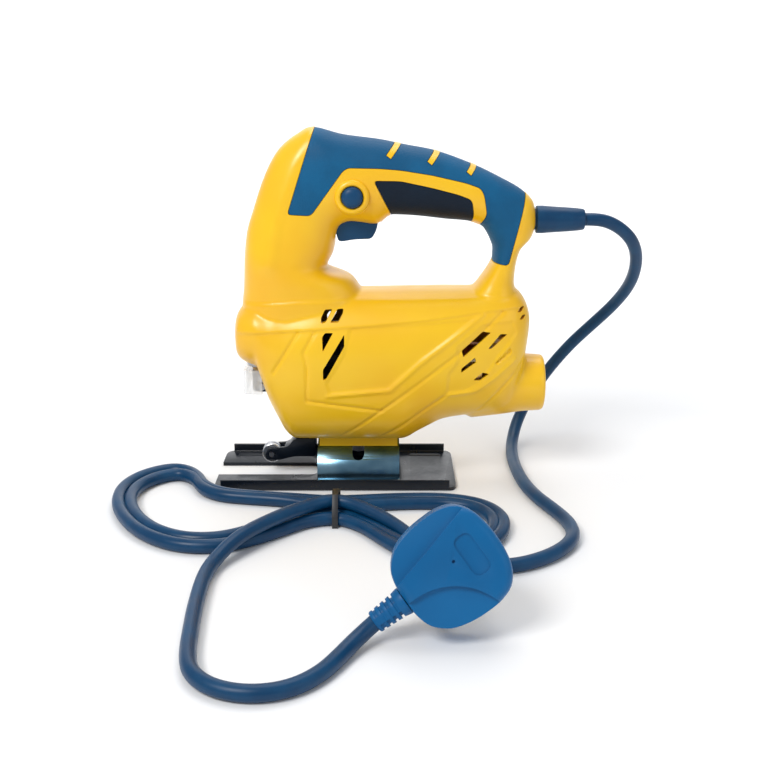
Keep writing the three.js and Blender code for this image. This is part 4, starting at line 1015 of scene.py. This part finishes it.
# %% Pockets, covers and pads
GRIP_DROP = 0.25
pocket_core = loop_loft("pocket_core", GRIP_THICKNESS + GAP, 64, 140)
grip_core = loop_loft("grip_core", GRIP_THICKNESS, 64, 140)
grip_skin = copied(skin, "grip_skin")
write_points(grip_skin, read_points(grip_skin) - GRIP_DROP * read_vectors(grip_skin, "normal"))


def grip(name, outline, slots):
    piece = copied(grip_skin, name)
    cut(piece, across("outline", rounded(outline, 2.2, 5)), "INTERSECT")
    cut(piece, grip_core, keep=True)
    for line in slots:
        cut(piece, across("slot", rib_outline(line, GAP)))
    for x, z, seat in SCREWS:
        cut(piece, rod("screw_room", "y", (x, 0, z), SCREW_HEAD + 2 * GAP, seat, FAR, 32))
    return piece


grips = [grip("grip_cover", COVER, RIBS), grip("palm_pad", PALM_PAD, [])]
for outline, slots in ((COVER, RIBS), (PALM_PAD, [])):
    pocket = across("pocket", rounded(grown(outline, GAP), 2.4, 5))
    cut(pocket, pocket_core, keep=True)
    for line in slots:
        cut(pocket, across("rib", rib_outline(line)))
    cut(shell, pocket)
for piece in (pocket_core, grip_core, grip_skin, skin):
    bpy.data.objects.remove(piece)

# %% Split into left and right
SPLIT = 0.15
for whole, node, finish, slot in (
    (shell, "housing", YELLOW, "body_yellow"),
    (grips[0], "grip_cover", GRIP, "grip_navy"),
    (grips[1], "palm_pad", PAD, "grip_navy"),
):
    for side, low, high in (("left", -FAR, -SPLIT), ("right", SPLIT, FAR)):
        half = copied(whole, f"{node}_{side}_moulding")
        cut(half, box("half", (-200, 300), (low, high), (-50, 300)), "INTERSECT")
        place(half, "housing", finish, slot, f"{node}_{side}", smooth_below=38)
    bpy.data.objects.remove(whole)


# %% [markdown]
# ## Trigger and lock button
# The trigger is a small moulding with a hollow back for its spring, rounded where the finger pulls.
# Its side outline is extruded and every edge gets a soft bevel. The lock button is turned, with the
# low dome that a thumb finds without looking.

# %% Trigger and lock button
TRIGGER = [
    (1.1, 139.1), (2.6, 134.4), (6, 134.6), (11, 135.5), (20.5, 135.8), (23.2, 141), (24.6, 150),
    (24.6, 152), (1.2, 152),
]
trigger = prism("trigger_moulding", rounded(TRIGGER, 2.2, 5), "y", -6.2, 6.2)
bevelled(trigger, 1.1, 4, 50)
cut(trigger, rod("spring_well", "z", (13, 0, 0), 3.4, 144, 154, 40))
place(trigger, "trigger", NAVY_PLASTIC, "grip_navy", "trigger", smooth_below=40)

BUTTON_PROFILE = [
    (0, -22.6), (2, -22.55), (3.6, -22.2), (4.8, -21.5), (5.4, -20.7), (5.6, -19.9), (5.6, -13.5),
    (2.6, -13.5), (2.6, -12.5), (0, -12.5),
]
button = turned("lock_button_moulding", BUTTON_PROFILE, "y", (BUTTON_X, 0, BUTTON_Z), 64)
place(button, "lock_button", NAVY_PLASTIC, "grip_navy", "lock_button", smooth_below=40)


# %% [markdown]
# ## Sole, tilt bracket, roller and guard
# The sole is one pressed sheet: a flat plate with its two long edges folded up. Drawing the folded
# section and extruding it rounds both faces of each bend. The plan outline then trims its corners, and
# the blade slot and the bolt window are cut last, as a press would. Four beads stiffen the plate.
# The tilt bracket is a half-round strip of plated steel, and the roller runs in a forked arm.

# %% Pressed sole
SOLE_HALF_LENGTH, SOLE_HALF_WIDTH, SOLE_SHEET, FLANGE_TOP = 67, 30.5, 2, 6.5
FLANGE_SHEET = 1.8
FLANGE_END, BEAD_Y = 63, 22.6


def sole_section():
    side, inner = SOLE_HALF_WIDTH, SOLE_HALF_WIDTH - FLANGE_SHEET
    return [
        (-side, FLANGE_TOP), (-side, 0), (side, 0), (side, FLANGE_TOP), (inner, FLANGE_TOP),
        (inner, SOLE_SHEET), (-inner, SOLE_SHEET), (-inner, FLANGE_TOP),
    ]


def fillet(outline, radii):
    """An outline whose corners are each rounded to their own radius."""
    done = []
    for i, point in enumerate(outline):
        ring = rounded([outline[i - 1], point, outline[(i + 1) % len(outline)]], radii[i])
        done += ring[len(ring) // 3:len(ring) * 2 // 3]
    return done


section = fillet(sole_section(), [0.5, 2.6, 2.6, 0.5, 0.5, 1.0, 1.0, 0.5])
sole = prism("sole_pressing", section, "x", -SOLE_HALF_LENGTH, SOLE_HALF_LENGTH)
plan = rounded(
    [(-SOLE_HALF_LENGTH, -31), (SOLE_HALF_LENGTH, -31), (SOLE_HALF_LENGTH, 31), (-SOLE_HALF_LENGTH, 31)],
    8, 8,
)
cut(sole, prism("plan", plan, "z", -1, 12), "INTERSECT")
for x0, x1 in ((-80, -FLANGE_END), (FLANGE_END, 80)):
    cut(sole, box("end_cut", (x0, x1), (-FAR, FAR), (SOLE_SHEET, 12)))
for y in (-BEAD_Y, BEAD_Y):
    for x0, x1 in ((-60, -16), (41, 61)):
        bead = rod("bead", "x", (0, y, 0.7), 2.1, x0, x1, 32)
        bevelled(bead, 1.8, 4, 50)
        cut(bead, box("under", (-80, 80), (y - 5, y + 5), (-5, 1.0)))
        cut(sole, bead, "UNION")
slot_outline = rounded([(-80, -9.5), (-11, -9.5), (-11, 9.5), (-80, 9.5)], 4, 6)
cut(sole, prism("blade_slot", slot_outline, "z", -2, 5))
window = rounded([(6, -6.6), (19.2, -6.6), (19.2, 6.6), (6, 6.6)], 2, 5)
cut(sole, prism("bolt_window", window, "z", -2, 5))
bevelled(sole, 0.3)
place(sole, "sole", BLACK, "sole_black", "sole_plate")

# %% Tilt bracket
BRACKET_SHEET, BRACKET_FOOT = 1.5, 2.3
FOOT_REACH, BRACKET_STEPS = 24.7, 40


def bracket_section():
    inner = TILT_RADIUS - BRACKET_SHEET

    def arc(radius, low, reverse):
        start = math.asin((low - TILT_Z) / radius)
        angles = np.linspace(start, math.pi - start, BRACKET_STEPS)
        points = [(radius * math.cos(a), TILT_Z + radius * math.sin(a)) for a in angles]
        return points[::-1] if reverse else points

    foot_top = BRACKET_FOOT + BRACKET_SHEET
    outer = arc(TILT_RADIUS, foot_top, False)
    return (
        [(FOOT_REACH, BRACKET_FOOT), (FOOT_REACH, foot_top)] + outer
        + [(-FOOT_REACH, foot_top), (-FOOT_REACH, BRACKET_FOOT)] + arc(inner, BRACKET_FOOT, True)
    )


bracket = prism("tilt_bracket_pressing", bracket_section(), "x", TILT_FRONT, TILT_BACK)
bolt_slot = rounded([(9.3, -16.33), (15.9, -16.33), (15.9, 16.33), (9.3, 16.33)], 3, 6)
cut(bracket, prism("bolt_slot", bolt_slot, "z", 8, 40))
bevelled(bracket, 0.25)
place(bracket, "sole", ZINC, "zinc_plate", "tilt_bracket")

# %% Roller, its arm and the guard
ROLLER_X, ROLLER_Z, ROLLER_HALF = -37, 12.5, 3.2
ARM = [
    (-40.2, 9.5), (-33, 9.1), (-24, 11.4), (-11.6, 11.4), (-11.6, 22), (-24, 22), (-27.5, 17),
    (-39, 15.9), (-40.6, 12.5),
]
arm = prism("roller_arm_pressing", rounded(ARM, 2.4, 5), "y", -ROLLER_HALF - 2.3, ROLLER_HALF + 2.3)
cut(arm, box("fork", (-60, ROLLER_X + 7.5), (-ROLLER_HALF - GAP, ROLLER_HALF + GAP), (0, 40)))
cut(arm, rod("pin_hole", "y", (ROLLER_X, 0, ROLLER_Z), 1.8, -FAR, FAR, 32))
bevelled(arm, 0.35)
place(arm, "housing", BLACK, "sole_black", "roller_bracket")

ROLLER_PROFILE = [
    (1.6, -3.2), (5.1, -3.2), (5.4, -3), (5.5, -2.7), (5.5, -1.1), (4.2, -0.5), (3.9, 0), (4.2, 0.5),
    (5.5, 1.1), (5.5, 2.7), (5.4, 3), (5.1, 3.2), (1.6, 3.2), (1.6, -3.2),
]
roller = turned("guide_roller_turning", ROLLER_PROFILE, "y", (ROLLER_X, 0, ROLLER_Z), 64)
place(roller, "guide_roller", STEEL, "machined_steel", "guide_roller", smooth_below=30)

GUARD_OUTER = [(-40, -15), (-50.6, -15), (-50.6, 15), (-40, 15)]
GUARD_INNER = [(-38, -13.4), (-49, -13.4), (-49, 13.4), (-38, 13.4)]
guard = prism("dust_guard_moulding", fillet(GUARD_OUTER, [0.6, 3.4, 3.4, 0.6]), "z", 51, GUARD_TOP)
cut(guard, prism("guard_inside", fillet(GUARD_INNER, [0.1, 1.9, 1.9, 0.1]), "z", 45, 70))
bevelled(guard, 0.3)
place(guard, "dust_guard", CLEAR, "clear_plastic", "dust_guard")


# %% [markdown]
# ## Pieces on the lead
# The strain relief is a tapered rubber sleeve with a collar that sits against the handle. The tie
# is a flat nylon strap with a square head. The plug is the fused three-pin kind, seen from its
# back: a rounded block with a scoop on each side for the fingers, an oval fuse window, and a
# sleeve with grooves that let it bend.

# %% Strain relief and tie
RELIEF_PROFILE = [
    (0, 97), (5.5, 97), (5.5, 108.9), (6.9, 108.9), (7.4, 109.3), (7.45, 112.5), (7.2, 115),
    (6.85, 120), (6.5, 126), (6.1, 131), (5.7, 134.2), (5.3, 135), (0, 135),
]
relief_sleeve = turned("strain_relief_sleeve", RELIEF_PROFILE, "x", (0, 0, RELIEF_Z), 64)
place(relief_sleeve, "housing", SHEATH, "cord_navy", "strain_relief")

TIE_INSIDE = [
    (-49.7, 0.1), (-49.7, 4.5), (-52.5, 7.4), (-60.5, 8.8), (-65.4, 14.6), (-72.8, 14.6),
    (-79.2, 6.6), (-79.6, 4.5), (-79.6, 0.1),
]
TIE_SHEET = 1.1
tie = prism("cord_tie_strap", grown(TIE_INSIDE, TIE_SHEET), "x", 0.6, 3.6)
tie_inside = [(y, z if z > 1 else -3) for y, z in TIE_INSIDE]
cut(tie, prism("tie_inside", tie_inside, "x", -1, 5))
cut(tie, box("tie_under", (-1, 5), (-90, -40), (-5, 0.1)))
cut(tie, box("tie_head", (0, 4.2), (-62.6, -57.4), (9.2, 12.6)), "UNION")
bevelled(tie, 0.2)
place(tie, "housing", DARK_PLASTIC, "inner_plastic", "cord_tie")

# %% The plug's own frame
PLUG_CENTRE = Vector((54, -185, 29.5))
PLUG_TILT, PLUG_TURN = math.radians(20), math.radians(36)
PLUG_EDGE, PLUG_HALF, RELIEF_REACH = 22.5, 9.5, 38
plug_up = Vector((0, math.sin(PLUG_TILT), math.cos(PLUG_TILT)))
plug_out = Vector((0, -math.cos(PLUG_TILT), math.sin(PLUG_TILT)))
plug_y = Vector((1, 0, 0)) * math.cos(PLUG_TURN) + plug_up * math.sin(PLUG_TURN)
plug_x = plug_y.cross(plug_out)
PLUG_FRAME = Matrix((plug_x, plug_y, plug_out)).transposed().to_4x4()
PLUG_FRAME.translation = PLUG_CENTRE * MM


def on_plug(piece):
    piece.data.transform(PLUG_FRAME)
    piece.data.update()


PLUG_OUTLINE = [
    (-7, -22.5), (7, -22.5), (14, -20.5), (20, -14), (22.6, -4), (22.8, 8), (20.5, 16), (14, 21),
    (5, 22.8), (-5, 22.8), (-14, 21), (-20.5, 16), (-22.8, 8), (-22.6, -4), (-20, -14), (-14, -20.5),
]
plug = prism("plug_moulding", rounded(PLUG_OUTLINE, 7, 4), "z", -PLUG_HALF, PLUG_HALF)
work_on(plug)
edit_edges(plug, lambda point: point.z > (PLUG_HALF - 0.1) * MM)
bpy.ops.mesh.bevel(offset=4.2 * MM, segments=7, affect="EDGES")
bpy.ops.object.mode_set(mode="OBJECT")
SCOOP_FLOOR = PLUG_HALF - 2.4
UPPER_SCOOP = [
    (-19.3, 27.1), (-14.5, 7.7), (-11.2, -4.4), (-8.6, -16.1), (-5.7, -27.7), (-32, -27.7), (-32, 27.1),
]
LOWER_SCOOP_CENTRE, LOWER_SCOOP_RADIUS = (28.8, -18.9), 27.8
cut(plug, prism("upper_scoop", UPPER_SCOOP, "z", SCOOP_FLOOR, 14))
cut(plug, rod("lower_scoop", "z", (*LOWER_SCOOP_CENTRE, 0), LOWER_SCOOP_RADIUS, SCOOP_FLOOR, 14, 96))
window = rounded([(-9, 6.3), (9, 6.3), (9, 14.3), (-9, 14.3)], 3.9, 10)
cut(plug, prism("fuse_window", window, "z", PLUG_HALF - 0.8, 14))
cut(plug, rod("screw_dimple", "z", (-2, 2.5, 0), 0.7, PLUG_HALF - 1.2, 14, 24))
joint_line = prism("joint_line", rounded(grown(PLUG_OUTLINE, 2), 7, 4), "z", -4.2, -3.8)
cut(joint_line, prism("joint_core", rounded(grown(PLUG_OUTLINE, -0.35), 7, 4), "z", -6, 0))
cut(plug, joint_line)
bevelled(plug, 0.45, 2, 45)
on_plug(plug)
place(plug, "housing", PLUG_BLUE, "plug_blue", "plug_body")

SLEEVE_GROOVES = 4
SLEEVE_PITCH = 2.9
LEAD_BORE, LEAD_DEPTH = CORD_DIAMETER / 2 + 0.2, 4
sleeve_profile = [
    (0, LEAD_DEPTH - RELIEF_REACH), (LEAD_BORE, LEAD_DEPTH - RELIEF_REACH), (LEAD_BORE, -RELIEF_REACH),
    (4.4, -RELIEF_REACH), (4.75, -RELIEF_REACH + 0.5),
]
for i in range(SLEEVE_GROOVES):
    low = -RELIEF_REACH + 1.6 + i * SLEEVE_PITCH
    outer = 4.8 + 0.22 * i
    sleeve_profile += [(outer, low), (4.2, low + 0.15), (4.2, low + 1.25), (outer, low + 1.4)]
sleeve_profile += [(6, -PLUG_EDGE - 1.2), (6, -PLUG_EDGE - GAP), (0, -PLUG_EDGE - GAP)]
sleeve = turned("plug_sleeve", sleeve_profile, "y", (0, 0, 0), 56)
spine = [(-1.6, -RELIEF_REACH + 1), (1.6, -RELIEF_REACH + 1), (2.2, -PLUG_EDGE - 1), (-2.2, -PLUG_EDGE - 1)]
cut(sleeve, prism("spine", spine, "z", -4.85, 4.85), "UNION")
bevelled(sleeve, 0.2, 2, 45)
on_plug(sleeve)
place(sleeve, "housing", PLUG_BLUE, "plug_blue", "plug_relief")


def plug_pin(name, x, y, half_x, half_y, length):
    face = -PLUG_HALF - GAP
    pin = box(name + "_turning", (x - half_x, x + half_x), (y - half_y, y + half_y), (face - length, face))
    bevelled(pin, 0.5, 3, 50)
    on_plug(pin)
    place(pin, "housing", BRASS, "brass", name)
    return pin


pins = [
    plug_pin("plug_pin_earth", 0, 11.1, 2, 4, 22.7),
    plug_pin("plug_pin_live", 11.1, -11.1, 3.15, 2, 17.7),
    plug_pin("plug_pin_neutral", -11.1, -11.1, 3.15, 2, 17.7),
]
